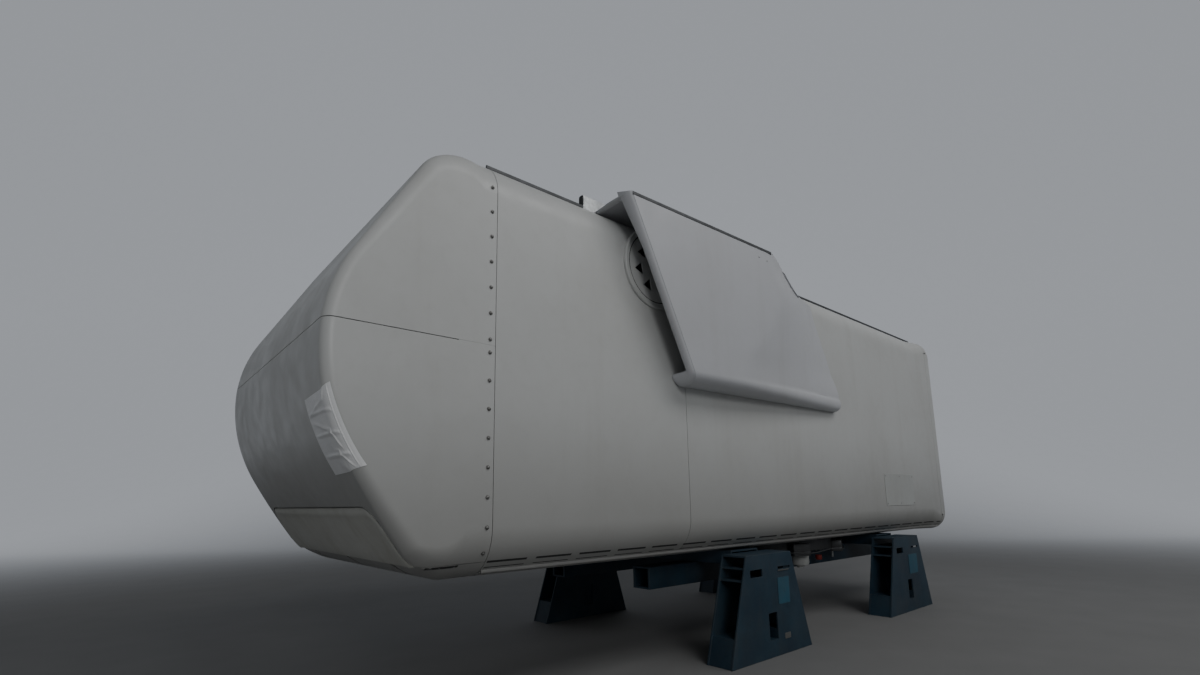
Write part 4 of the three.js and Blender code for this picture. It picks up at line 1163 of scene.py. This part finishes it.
# %% Turned pieces and rounded blocks
def frames_for(normals):
    """Two directions square to each normal, for whole arrays."""
    n = normals / np.linalg.norm(normals, axis=-1, keepdims=True)
    helper = np.where(np.abs(n[..., 2:]) < 0.9, [0.0, 0.0, 1.0], [1.0, 0.0, 0.0])
    first = np.cross(helper, n)
    first /= np.linalg.norm(first, axis=-1, keepdims=True)
    return n, first, np.cross(n, first)


def turned_grids(centres, normals, profile, sides=12):
    """Each profile point (h, r) makes a ring: centre + h n + r (cos w first + sin w second)."""
    centres, normals = np.asarray(centres, float), np.asarray(normals, float)
    n, first, second = frames_for(np.broadcast_to(normals, centres.shape))
    h, r = np.asarray(profile, float).T
    w = np.linspace(0, 2 * np.pi, sides + 1)
    ring = np.cos(w)[:, None] * first[:, None, None]
    ring = ring + np.sin(w)[:, None] * second[:, None, None]
    grids = centres[:, None, None] + h[:, None, None] * n[:, None, None] + r[:, None, None] * ring
    return list(grids)


CRISP_DEGREES = 40.0


def closed_piece(name, grids, finish, slot, body="nacelle"):
    """Pieces whose grids close on themselves. Edges sharper than the angle stay crisp."""
    made = piece(name, grids, finish, slot, body, outwards=True, inside=(0, 0, -1e6))
    modify(made, "crisp_edges", "EDGE_SPLIT", split_angle=np.radians(CRISP_DEGREES))
    return made


def turned_pair(centres, normals, profile, sides=12):
    """Turned pieces on the right side and, mirrored, on the left side."""
    other = np.array([1.0, -1.0, 1.0])
    left = turned_grids(centres * other, normals * other, profile, sides)
    return turned_grids(centres, normals, profile, sides) + left


def block_grid(centre, half, power=0.18, rows=13, columns=25):
    """x = a c(v) c(u), y = b c(v) s(u), z = h s(v), where c and s are powers of cosine and sine."""
    v = np.linspace(-np.pi / 2, np.pi / 2, rows)[:, None]
    u = np.linspace(0, 2 * np.pi, columns)[None, :]

    def power_of(value):
        return np.sign(value) * np.abs(np.where(np.abs(value) < 1e-9, 0.0, value)) ** power

    cv, sv = power_of(np.cos(v)), power_of(np.sin(v))
    shape = np.stack([cv * power_of(np.cos(u)), cv * power_of(np.sin(u)), sv + 0 * u], -1)
    return np.asarray(centre) + shape * np.asarray(half)


def turned_block(middle, half, angle, a, b, power=0.18):
    """A block turned about its own middle, in the plane of the axes a and b."""
    flat = block_grid([0.0, 0.0, 0.0], half, power)
    grid = flat.copy()
    grid[..., a] = flat[..., a] * np.cos(angle) - flat[..., b] * np.sin(angle)
    grid[..., b] = flat[..., a] * np.sin(angle) + flat[..., b] * np.cos(angle)
    return grid + middle


# A bolt head: a thin washer with a low head on it, as (height, radius)
HEAD = [
    (-0.002, 0.0), (-0.002, 0.0165), (0.0025, 0.0165), (0.003, 0.0115),
    (0.010, 0.011), (0.013, 0.008), (0.014, 0.0),
]
print("a bolt head has", 12 * (len(HEAD) - 1), "faces")

# %% [markdown]
# ### Bolt line of the rear cap
# The cap is screwed to the side walls along its joint, with a bolt about every 21 centimetres.

# %% Cap bolts
BOLT_X, LOW_BOLT_Z = -4.112, 1.272
# One row goes up from the seam and one goes down: height of the first bolt, step to the next
SEAM_BOLTS = ((2.860, 0.2097), (2.757, -0.2173))
bolt_z = np.concatenate([first_z + step * np.arange(7) for first_z, step in SEAM_BOLTS])
flat_bolts = np.stack([np.full(14, BOLT_X), np.full(14, -HALF_WIDTH), bolt_z], -1)
bolt_t = t_where(0, BOLT_X, np.array([-1.7]), 10.6, 11.9)
low_c = -across(bolt_t, lip_y(bolt_t, LOW_BOLT_Z))
low_bolt = skin(bolt_t, low_c)
low_normal = skin(bolt_t, low_c, 0.1) - low_bolt
centres = np.concatenate([flat_bolts, low_bolt])
normals = np.concatenate([np.tile([[0.0, -1.0, 0.0]], (14, 1)), low_normal])
bolts = turned_pair(centres, normals, HEAD)
closed_piece("cap_bolts", bolts, dull_steel, "machined_steel")
print("cap bolts", len(bolts))

# %% [markdown]
# ### Lower edge
# The floor is bolted to the walls from inside, through clamps. Between them the joint is open, and
# its shade is painted as a row of dark strips on the surface, with a second, thinner row below.
# Under both runs a thin ledge that throws off rain.

# %% Clamps across the lower joint, and the rain ledge
SLOT_PITCH, SLOT_LENGTH, FIRST_SLOT = 0.435, 0.35, -4.05
SECOND_ROW_Z, CAP_SLOT_Z, CAP_SLOT_X = 1.160, 1.192, (-4.53, -4.28)
SLOT_HALF, THIN_SLOT_HALF, CLAMP_HALF = 0.008, 0.003, 0.012
SLOT_LIFT, CLAMP_LIFT = 0.0006, 0.0008


def edge_strip(x0, x1, count, z, half, rows, lift):
    """A strip along the lower edge, as tall as twice the half."""
    x = np.linspace(x0, min(x1, NOSE_X - 0.01), count)
    return np.stack([lower_edge(x, z + rise, lift) for rise in np.linspace(-half, half, rows)])


clamps, slot_shades = [], []
for start in FIRST_SLOT + SLOT_LENGTH + SLOT_PITCH * np.arange(20):
    end = start + SLOT_PITCH - SLOT_LENGTH
    clamps.append(edge_strip(start, end, 3, LIP_Z, CLAMP_HALF, 4, CLAMP_LIFT))
# Each slot is a dark strip laid just above the surface: painted shade of the open joint.
for start in np.arange(FIRST_SLOT, NOSE_X - 0.05, SLOT_PITCH):
    for row_z, half in ((LIP_Z, SLOT_HALF), (SECOND_ROW_Z, THIN_SLOT_HALF)):
        slot_shades.append(edge_strip(start, start + SLOT_LENGTH, 4, row_z, half, 3, SLOT_LIFT))
slot_shades.append(edge_strip(*CAP_SLOT_X, 5, CAP_SLOT_Z, SLOT_HALF, 3, CLAMP_LIFT))
piece("lower_joint_clamps", clamps + [mirrored(g) for g in clamps], gelcoat, "gelcoat")
piece("lower_joint_slot_shades", slot_shades + [mirrored(g) for g in slot_shades], seal_rubber, "gelcoat")

ledge_x = np.concatenate([
    np.linspace(CAP_X + 0.01, -3.9, 4), np.linspace(-3.6, 4.4, 20), [4.55, 4.7, NOSE_X]])
ledge_profile = (
    (1.142, -0.004), (1.140, 0.003), (1.136, 0.014), (1.131, 0.018), (1.126, 0.016),
    (1.123, 0.003), (1.121, -0.004),
)
ledge = np.stack([lower_edge(ledge_x, height, lift) for height, lift in ledge_profile])
piece("rain_ledge", pair(ledge), gelcoat, "gelcoat")
print("slot_shades", len(slot_shades), "on each side")

# %% [markdown]
# ### Tape on the rear corner
# A crinkled white sheet is stuck over the near rear corner. It is a patch of the shell, lifted a
# few millimetres, that runs from the end round the corner to the side. Each fold is a ridge along
# a line, and the folds die out at the sheet's edges, where it is stuck down.

# %% Tape patch
tape_white, tree, shader = finish_base("tape_white", IOR=1.45)
weathered = use(tree, weather, Colour=(0.93, 0.94, 0.95), Dirt=(0.6, 0.59, 0.56), Amount=0.3, Size=4.0)
place = object_place(tree)
gloss = ramp(tree, noise(tree, place, 30.0), 0.3, 0.7, 0.32, 0.5)
plug(tree, shader, Base_Color=weathered.outputs["Colour"], Roughness=gloss)
bump(tree, shader, noise(tree, place, 35.0, 6.0, 0.7), 0.003)

TAPE_TOP, TAPE_FOOT, TAPE_RANGE = 2.335, 1.833, (11.5, 14.9)
TAPE_LIFT, FOLD_HEIGHT = 0.0035, 0.008
rows, columns = 70, 60
down = np.linspace(0.0, 1.0, rows)[:, None]
aside = np.linspace(0.0, 1.0, columns)[None, :]
tape_z = between(TAPE_TOP, TAPE_FOOT, down) + between(0.058, 0.045, down) * aside
tape_t = t_where(2, tape_z, np.full((rows, columns), -1.0), *TAPE_RANGE)
inner_c = -across(tape_t, between(1.09, 1.147, down) + 0 * aside)
tape_c = between(inner_c, between(-1.67, -1.98, down), aside)
tape_t = t_where(2, tape_z, tape_c, *TAPE_RANGE)
from_rim = np.minimum(np.minimum(down, 1 - down), np.minimum(aside, 1 - aside))
stuck = np.minimum(1.0, 14.0 * from_rim)


def crease(value, width):
    """A ridge that follows the line where the value is zero."""
    return np.exp(-(value / width) ** 2)


folds = crease(down - 0.22 - 0.12 * aside, 0.018) + crease(down - 0.50 - 0.1 * aside, 0.02)
folds = folds + crease(down - 0.77 - 0.08 * aside, 0.02) + 0.8 * crease(aside - 0.16, 0.035)
folds = folds + crease(down - 0.85 * aside - 0.30, 0.02) * ease((0.55 - aside) / 0.1)
folds = folds + crease(down - 0.6 * aside - 0.62, 0.02) * ease((aside - 0.15) / 0.1)
folds = folds + crease(down + 0.5 * aside - 0.25, 0.02)
folds = folds * ease((0.74 - aside) / 0.08) + 0.7 * crease(aside - 0.76, 0.02)
lift = TAPE_LIFT + FOLD_HEIGHT * folds * stuck
tape_points = skin(tape_t, tape_c, lift)
piece("corner_tape", [tape_points], tape_white, "gelcoat")
print("tape", tape_points.shape)

# %% [markdown]
# ### Hatch frame and hinges
# Behind the hatch's edge lies a landing, a band of the shell moved inwards behind the leaf. At
# the leaf's foot are three hinges: one barrel that moves with the leaf between two on the floor,
# round the pin that the CAD model gives. The pin lies inside the shell, so a short arm joins it
# to the leaf and swings down through a slot of the floor strip.

# %% Hatch landing
def outline_points(half, top, corner, foot, count=12):
    """(y, z) up one side, round the upper corners and down the other side."""
    a = np.linspace(0, np.pi / 2, count)
    rise = np.linspace(foot, top - corner, 10)[:-1]
    up = np.stack([np.full(9, -half), rise], -1)
    left_turn = np.stack([-half + corner - corner * np.cos(a), top - corner + corner * np.sin(a)], -1)
    whole_right = np.concatenate([up, left_turn])
    return np.concatenate([whole_right, whole_right[::-1] * [-1, 1]])


LANDING_LIFT, LANDING_OUT, LANDING_IN = -0.034, 0.02, -0.06
outside_line, inside_line = [
    outline_points(OPEN_HALF + wider, OPEN_TOP + wider, OPEN_CORNER + wider, LIP_Z + 0.004)
    for wider in (LANDING_OUT, LANDING_IN)
]
landing_yz = strip_between(outside_line, inside_line, np.linspace(0, 1, 4))
landing_t, landing_c = t_at(landing_yz[..., 1], landing_yz[..., 0], *CUT_RANGE)
piece("hatch_landing", [skin(landing_t, landing_c, LANDING_LIFT)], gelcoat, "gelcoat")
print("landing", landing_yz.shape)

# %% Hinge barrels
HINGE_X, HINGE_Z, HINGES_Y = -4.4655, 1.1986, np.array([-1.0, 0.0, 1.0])
barrel = [
    (0.0, 0.0086), (0.0, 0.0135), (0.0015, 0.015), (0.0585, 0.015), (0.06, 0.0135),
    (0.06, 0.0086), (0.0, 0.0086),
]
for name, offsets, body in (
    ("hatch_barrels", [-0.03], "hatch"), ("floor_barrels", [-0.091, 0.031], "nacelle"),
):
    y = (HINGES_Y[:, None] + offsets).ravel()
    centres = np.stack([np.full(y.size, HINGE_X), y, np.full(y.size, HINGE_Z)], -1)
    grids = turned_grids(centres, [[0.0, 1.0, 0.0]], barrel, 20)
    closed_piece(name, grids, zinc, "gelcoat", body)
print("hinge barrels", 3 * len(HINGES_Y))

# %% Hinge arms
ARM_END_X, ARM_END_Z = -4.672, 1.300
ARM_HALF_WIDTH, ARM_HALF_HEIGHT, ARM_OVERLAP = 0.012, 0.02, 0.012
reach_x, reach_z = ARM_END_X - HINGE_X, ARM_END_Z - HINGE_Z
arm_length = float(np.hypot(reach_x, reach_z))
arm_half = [arm_length / 2 + ARM_OVERLAP, ARM_HALF_WIDTH, ARM_HALF_HEIGHT]
arm_angle = np.arctan2(reach_z, reach_x)
middle_x, middle_z = (HINGE_X + ARM_END_X) / 2, (HINGE_Z + ARM_END_Z) / 2
arms = [turned_block([middle_x, y, middle_z], arm_half, arm_angle, 0, 2, 0.25) for y in HINGES_Y]
closed_piece("hatch_arms", arms, zinc, "gelcoat", "hatch")
print("hinge arms", len(arms), "of", round(arm_length, 3), "m")

# %% [markdown]
# ## Copies with soft edges
# Plates and castings are right as the CAD model has them, but a real edge is never knife-sharp.
# A merged copy of a node gets a narrow Bevel, which catches the light, and stands for the node.

# %% Soft-edged copies
SOFT_DEGREES = 25


def soft_copy(node, finish, width=0.004, segments=2):
    """Copies a CAD node, merges its triangles into flat faces and bevels its edges."""
    source = frame["nodes"][node]
    mesh = source.data.copy()
    work = bmesh.new()
    work.from_mesh(mesh)
    bmesh.ops.remove_doubles(work, verts=work.verts, dist=1e-5)
    bmesh.ops.dissolve_limit(work, angle_limit=np.radians(0.4), verts=work.verts, edges=work.edges)
    work.to_mesh(mesh)
    work.free()
    smooth_faces(mesh)
    mesh.set_sharp_from_angle(angle=np.radians(SOFT_DEGREES))
    mesh.materials.clear()
    mesh.materials.append(finish)
    made = in_scene(node + "_soft", mesh)
    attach(made, source["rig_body"])
    modify(made, "soft_edges", "BEVEL", width=width, segments=segments, limit_method="ANGLE",
           angle_limit=np.radians(SOFT_DEGREES), harden_normals=True)
    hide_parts(node)


for place_name in ("rear_right", "rear_left", "front_right", "front_left"):
    soft_copy("stand_" + place_name, blue_paint)
for side in ("right", "left"):
    soft_copy("girder_" + side, blue_paint)
    soft_copy("vent_guard_" + side, gelcoat, 0.003)
    soft_copy("side_cover_" + side, cover_plastic, 0.003)
    soft_copy("roof_rail_" + side, zinc, 0.003)
for end in ("rear", "front"):
    soft_copy("cross_bearer_" + end, blue_paint)
soft_copy("front_collar", gelcoat, 0.008, 3)
soft_copy("rotor_flange", machined_steel, 0.005)
soft_copy("yaw_ring", dark_steel)
print("soft copies made")

# %% [markdown]
# ### Vent ring
# The vent's collar has a raised bead near its rim. A dark gasket ring lies between the collar and the
# guard plate, and it is also painted shade of the groove there. Both are turned shapes round the
# vent's axis, each with a closed profile.

# %% Vent bead and gasket
VENT_BEAD_RADIUS, COLLAR_REACH = 0.398, 0.025
a = np.linspace(0, 2 * np.pi, 11)
bead = np.stack([0.008 * np.sin(a), VENT_BEAD_RADIUS + 0.009 * np.cos(a)], -1)
# A dark ring: a gasket, and painted shade of the groove between the collar and the plate.
seal_and_groove_shade_profile = [
    (-0.009, 0.347), (-0.0045, 0.347), (-0.0035, 0.352), (-0.0035, 0.3575), (-0.009, 0.3575),
    (-0.009, 0.347),
]
collar_face = np.array([VENT_X, -HALF_WIDTH - COLLAR_REACH, VENT_Z])
for name, profile, finish in (("vent_beads", bead, gelcoat), ("vent_seal_and_groove_shade", seal_and_groove_shade_profile, seal_rubber)):
    ring = turned_grids([collar_face], [[0.0, -1.0, 0.0]], profile, 72)[0]
    closed_piece(name, pair(ring), finish, "gelcoat")
print("vent beads 2")

# %% [markdown]
# ### Thin rails along the roof
# A thin dark rail runs along each roof edge. Its section is a small rounded rectangle, closed at
# both ends, and it stands for the CAD model's plain bar.

# %% Roof edge rails
def soft_square(count, power):
    """A closed ring of points on a superellipse, a square from -1 to 1 with rounded corners."""
    a = np.linspace(0, 2 * np.pi, count)
    circle = np.stack([np.cos(a), np.sin(a)], -1)
    return np.sign(circle) * np.abs(circle) ** power


def closed_ends(values, at_ends=None):
    """Repeats the first and the last value, or puts another one there."""
    first, last = (values[:1], values[-1:]) if at_ends is None else ([at_ends], [at_ends])
    return np.concatenate([first, values, last])


def roof_bar(x0, x1, y0, y1, z0, z1, steps=4):
    """The section, a superellipse, carried along X. Rings of no size close its ends."""
    section = soft_square(29, 0.4) * [(y1 - y0) / 2, (z1 - z0) / 2]
    x = closed_ends(np.linspace(x0, x1, steps))[:, None, None]
    size = closed_ends(np.ones(steps), 0.0)[:, None, None]
    loops = section * size + [(y0 + y1) / 2, (z0 + z1) / 2]
    return np.concatenate([np.broadcast_to(x, loops.shape[:2] + (1,)), loops], -1)


RAIL_Y, RAIL_Z = (-1.335, -1.317), (4.412, 4.449)
for part, x0, x1 in (("rear", -4.05, -2.998), ("front", 0.90, 4.72)):
    bar = roof_bar(x0, x1, *RAIL_Y, *RAIL_Z)
    for side, turned in SIDES:
        place_name = part + "_" + side
        made = closed_piece("roof_line_" + place_name, [turned(bar)], dark_steel, "dark_steel")
        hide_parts("roof_edge_rail_" + place_name)
# A dark plate closes the rear end of each zinc rail: painted shade of its end face, which looks to the
# rear.
end_shade_plate = roof_bar(-2.999, -2.990, -1.331, -1.269, 4.44, 4.561)
closed_piece("roof_rail_end_shades", pair(end_shade_plate), dark_steel, "dark_steel")
print("roof edge rails 4")

# %% [markdown]
# ### Trim along the scoops
# A dark trim covers the upper outer edge of each scoop. It is a small rounded profile carried
# along the edge's rising line, and it ends at two screws.

# %% Scoop trim and screws
TRIM_MIDDLE, TRIM_HALF = np.array([REACH - 0.009, -0.0165]), [0.0115, 0.0185]


def trim_grid():
    """The profile (out, z), a rounded rectangle, follows the line from the rear top to the front."""
    x = np.linspace(REAR_TOP[0] + 0.01, TOP_FRONT_X, 14)
    size = closed_ends(np.ones(14), 0.0)[:, None, None]
    loop = TRIM_MIDDLE + soft_square(33, 0.35) * TRIM_HALF * size
    rise = closed_ends(scoop_top_z(x))[:, None]
    return at_side(closed_ends(x)[:, None], loop[..., 0], rise + loop[..., 1])


trim = trim_grid()
for side, turned in SIDES:
    made = closed_piece("scoop_trim_" + side, [turned(trim)], dark_steel, "dark_steel")
    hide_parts("scoop_top_rail_" + side)
screw = [(-0.001, 0.0), (-0.001, 0.009), (0.004, 0.008), (0.006, 0.0)]
trim_places = np.array([[-0.789, -1.8205, 4.372], [-0.627, -1.8195, 4.369]])
cover_x, cover_z = np.meshgrid([2.65, 3.138, 3.626], [1.535, 1.945])
cover_places = np.stack([cover_x.ravel(), np.full(6, -1.5563), cover_z.ravel()], -1)
to_right = np.array([[0.0, -1.0, 0.0]])
screws = turned_pair(trim_places, to_right, screw) + turned_pair(cover_places, to_right, screw)
closed_piece("panel_screws", screws, machined_steel, "machined_steel")
print("screws", len(screws))

# %% [markdown]
# ## Rotor end and tower ring
# The flange that carries the rotor and the ring that turns on the tower both have a circle of
# bolts. Under the floor, brake calipers grip the ring, with a steel pipe that feeds them.

# %% Bolt circles
RING_UNDERSIDE_Z = 0.93
NUT = np.array([
    (-0.002, 0.0), (-0.002, 0.024), (0.003, 0.024), (0.004, 0.018), (0.022, 0.018),
    (0.026, 0.015), (0.026, 0.0),
])


def bolt_circle(name, finish, count, radius, place, normal, profile, sides):
    """Bolts on a circle round a place, square to the normal, which lies along X or Z."""
    w = np.linspace(0, 2 * np.pi, count, endpoint=False)
    a, b, flat = radius * np.cos(w), radius * np.sin(w), np.zeros(count)
    circle = np.stack([flat, a, b] if normal[0] else [a, b, flat], -1)
    grids = turned_grids(circle + place, [normal], profile, sides)
    closed_piece(name, grids, finish, "machined_steel")


shaft, down_z = [1.0, 0.0, 0.0], [0.0, 0.0, -1.0]
flange_nut = NUT * [0.8, 0.9] - [0.022, 0.0]
ring_place = [TOWER_X, 0.0, RING_UNDERSIDE_Z]
bolt_circle("flange_nuts", machined_steel, 36, 0.655, [5.30, 0.0, SHAFT_Z], shaft, flange_nut, 6)
bolt_circle("ring_nuts", dull_steel, 48, 1.05, ring_place, down_z, NUT, 6)
bolt_circle("collar_bolts", machined_steel, 24, 0.775, [5.173, 0.0, SHAFT_Z], shaft, HEAD, 12)
print("nuts and bolts", 36 + 48 + 24)

# %% Brake calipers and their pipe
CALIPER_RADIUS, CALIPER_Z, PIPE_RADIUS = 1.21, 0.985, 1.30
calipers = []
for angle in np.radians([-150, -115, -65, -30, 30, 65, 115, 150]):
    x, y = TOWER_X + CALIPER_RADIUS * np.cos(angle), CALIPER_RADIUS * np.sin(angle)
    for drop, thickness in ((0.0, 0.052), (0.075, 0.032)):
        half = [0.075, 0.13, thickness]
        calipers.append(turned_block([x, y, CALIPER_Z - drop], half, angle, 0, 1))
closed_piece("brake_calipers", calipers, dark_steel, "dark_steel")


def tube(line, radius, sides=10):
    """A circle carried along a line of points, square to it."""
    _, first, second = frames_for(np.gradient(line, axis=0))
    w = np.linspace(0, 2 * np.pi, sides + 1)[None, :, None]
    return line[:, None] + radius * (np.cos(w) * first[:, None] + np.sin(w) * second[:, None])


w = np.linspace(-np.pi, np.pi, 121)
pipe_z = RING_UNDERSIDE_Z + 0.02 * np.cos(8 * w)
loop = np.stack([TOWER_X + PIPE_RADIUS * np.cos(w), PIPE_RADIUS * np.sin(w), pipe_z], -1)
closed_piece("brake_pipe", [tube(loop, 0.006)], dark_steel, "machined_steel")
print("calipers", len(calipers) // 2)

# %% [markdown]
# ### Grease pumps
# Beside the ring, on each side, hangs a small grey pump that feeds it with grease: a turned
# housing. A red filler cap and a thin drain rod hang next to it.

# %% Grease pump
signal_red = moulded("signal_red", (0.30, 0.03, 0.02), (0.12, 0.05, 0.04), 0.5, 0.45, 0.001, 3.0)
housing = [
    (0.0, 0.0), (0.0, 0.10), (0.012, 0.118), (0.17, 0.118), (0.19, 0.105), (0.20, 0.05),
    (0.225, 0.045), (0.225, 0.0),
]
filler_cap = [(0.0, 0.0), (0.0, 0.045), (0.05, 0.045), (0.065, 0.035), (0.065, 0.0)]
rod = [(0.0, 0.0), (0.0, 0.016), (0.16, 0.016), (0.165, 0.01), (0.165, 0.0)]
for name, x, high, profile, finish, slot in (
    ("grease_pump_body", 1.02, 0.935, housing, cover_plastic, "grey_plastic"),
    ("grease_pump_cap", 1.52, 0.84, filler_cap, signal_red, "grey_plastic"),
    ("drain_rod", 1.915, 0.95, rod, zinc, "galvanised_steel"),
):
    both = turned_grids([[x, -1.0, high], [x, 1.0, high]], [down_z], profile, 28)
    closed_piece(name, both, finish, slot)
print("grease pumps 2")

# %% [markdown]
# ## Plates on the stands
# Each stand carries a small plate, left blank here, in a brighter blue than the faded paint, and
# the rear ones a pale label and a strip too. Inside, thin plates close the stands' holes.

# %% Blank plates
plate_blue = worn_paint("plate_blue", (0.015, 0.088, 0.14), (0.02, 0.11, 0.17), (0.08, 0.10, 0.11))


def block_pair(middle, half, power=0.1):
    """A thin block on the right side and its mirror on the left side."""
    return pair(block_grid(middle, half, power))


plates = block_pair([-0.517, -1.682, 0.650], [0.111, 0.003, 0.139])
plates += block_pair([3.004, -1.682, 0.650], [0.150, 0.003, 0.139])
pale = block_pair([-0.490, -1.6815, 0.178], [0.055, 0.0025, 0.029])
pale += block_pair([-0.506, -1.684, 0.862], [0.107, 0.006, 0.005], 0.2)
closed_piece("blank_plates", plates, plate_blue, "blue_paint")
closed_piece("stand_labels", pale, dull_steel, "machined_steel")
print("plates", len(plates), "and labels", len(pale))

# %% Closing plates behind the stands' holes
STANDS_X = (-0.752, 2.836)
# Each hole that is closed, from x0 to x1 and from z0 to z1, and each upright plate between z0 and z1
HOLES = ((-0.38, -0.125, 0.812, 0.905), (0.13, 0.41, 0.862, 0.905), (-0.09, 0.105, 0.15, 0.46))
UPRIGHTS = ((0.03, 0.775), (0.806, 0.895))
closing = []
for stand_x in STANDS_X:
    for x0, x1, z0, z1 in HOLES:
        middle = [stand_x + (x0 + x1) / 2, -1.3955, (z0 + z1) / 2]
        closing += block_pair(middle, [(x1 - x0) / 2, 0.0045, (z1 - z0) / 2])
    for z0, z1 in UPRIGHTS:
        closing += block_pair([stand_x + 0.30, -1.525, (z0 + z1) / 2], [0.005, 0.132, (z1 - z0) / 2])
closed_piece("stand_closing_plates", closing, blue_paint, "blue_paint")
print("closing plates", len(closing))

# %% [markdown]
# ## Stage and light
# The floor is a plain pale sheet that curves up behind the object, as in a photographer's studio.
# Far away it glows faintly, so that its upright part is as pale as an overcast sky.

# %% Stage
stage_finish, tree, shader = finish_base("stage_finish", Roughness=0.85, Emission_Strength=1.0)
place = object_place(tree)
ground = blend_colours(tree, noise(tree, place, 1.5, 4.0), (0.19, 0.19, 0.188), (0.225, 0.225, 0.222))
far = add(tree, "VectorMath", operation="LENGTH", Vector=place).outputs["Value"]
glow = blend_colours(tree, ramp(tree, far, 9.0, 34.0), (0.0, 0.0, 0.0), (0.30, 0.315, 0.34))
plug(tree, shader, Base_Color=ground, Emission_Color=glow)
STAGE_RADIUS, FLAT_END, SHEET_HALF, SHEET_TOP = 18.0, 14.0, 70.0, 50.0


def stage_sheet():
    """A profile (distance, height) carried sideways: flat, then a wide arc, then up."""
    s = np.linspace(-SHEET_HALF, SHEET_HALF, 9)
    arc = np.radians(np.linspace(0, 85, 24))[1:]
    d = FLAT_END + STAGE_RADIUS * np.sin(arc)
    d = np.concatenate([[-60, -20, 0, FLAT_END], d, [d[-1] + 2.5]])
    z = np.concatenate([[0, 0, 0, 0], STAGE_RADIUS * (1 - np.cos(arc)), [SHEET_TOP]])
    ahead = np.array([np.sin(YAW), np.cos(YAW)])
    grid = np.zeros((len(s), len(d), 3))
    grid[..., :2] = s[:, None, None] * level[:2] + d[None, :, None] * ahead
    grid[..., 2] = z[None, :]
    return grid


grid = stage_sheet()
mesh = mesh_from(grid.reshape(-1, 3), grid_faces(*grid.shape[:2]), "floor")
smooth_faces(mesh)
mesh.materials.append(stage_finish)
floor = in_scene("floor", mesh)
print("stage", len(mesh.polygons), "faces")

# %% Light
world = bpy.data.worlds.new("soft_sky")
world.use_nodes = True
sky = world.node_tree.nodes["Background"]
plug(world.node_tree, sky, Color=(0.86, 0.92, 1.0), Strength=0.07)
bpy.context.scene.world = world


def soft_light(name, where, target, size, power):
    """A large rectangle of light that faces its target."""
    lamp = bpy.data.lights.new(name, "AREA")
    lamp.shape = "RECTANGLE"
    lamp.size, lamp.size_y = size
    lamp.energy = power
    aim = (Vector(target) - Vector(where)).to_track_quat("-Z", "Y")
    in_scene(name, lamp).matrix_world = Matrix.Translation(Vector(where)) @ aim.to_matrix().to_4x4()


soft_light("long_light", (3.0, -11.0, 14.0), (3.0, -0.5, 2.4), (18.0, 6.0), 820.0)
soft_light("end_light", (-10.3, -20.4, 9.7), (-3.0, -1.0, 2.4), (8.0, 6.0), 700.0)
soft_light("low_light", (-16.0, -4.0, 1.8), (-5.0, 0.0, 2.2), (6.0, 2.5), 55.0)
print("three soft lights")
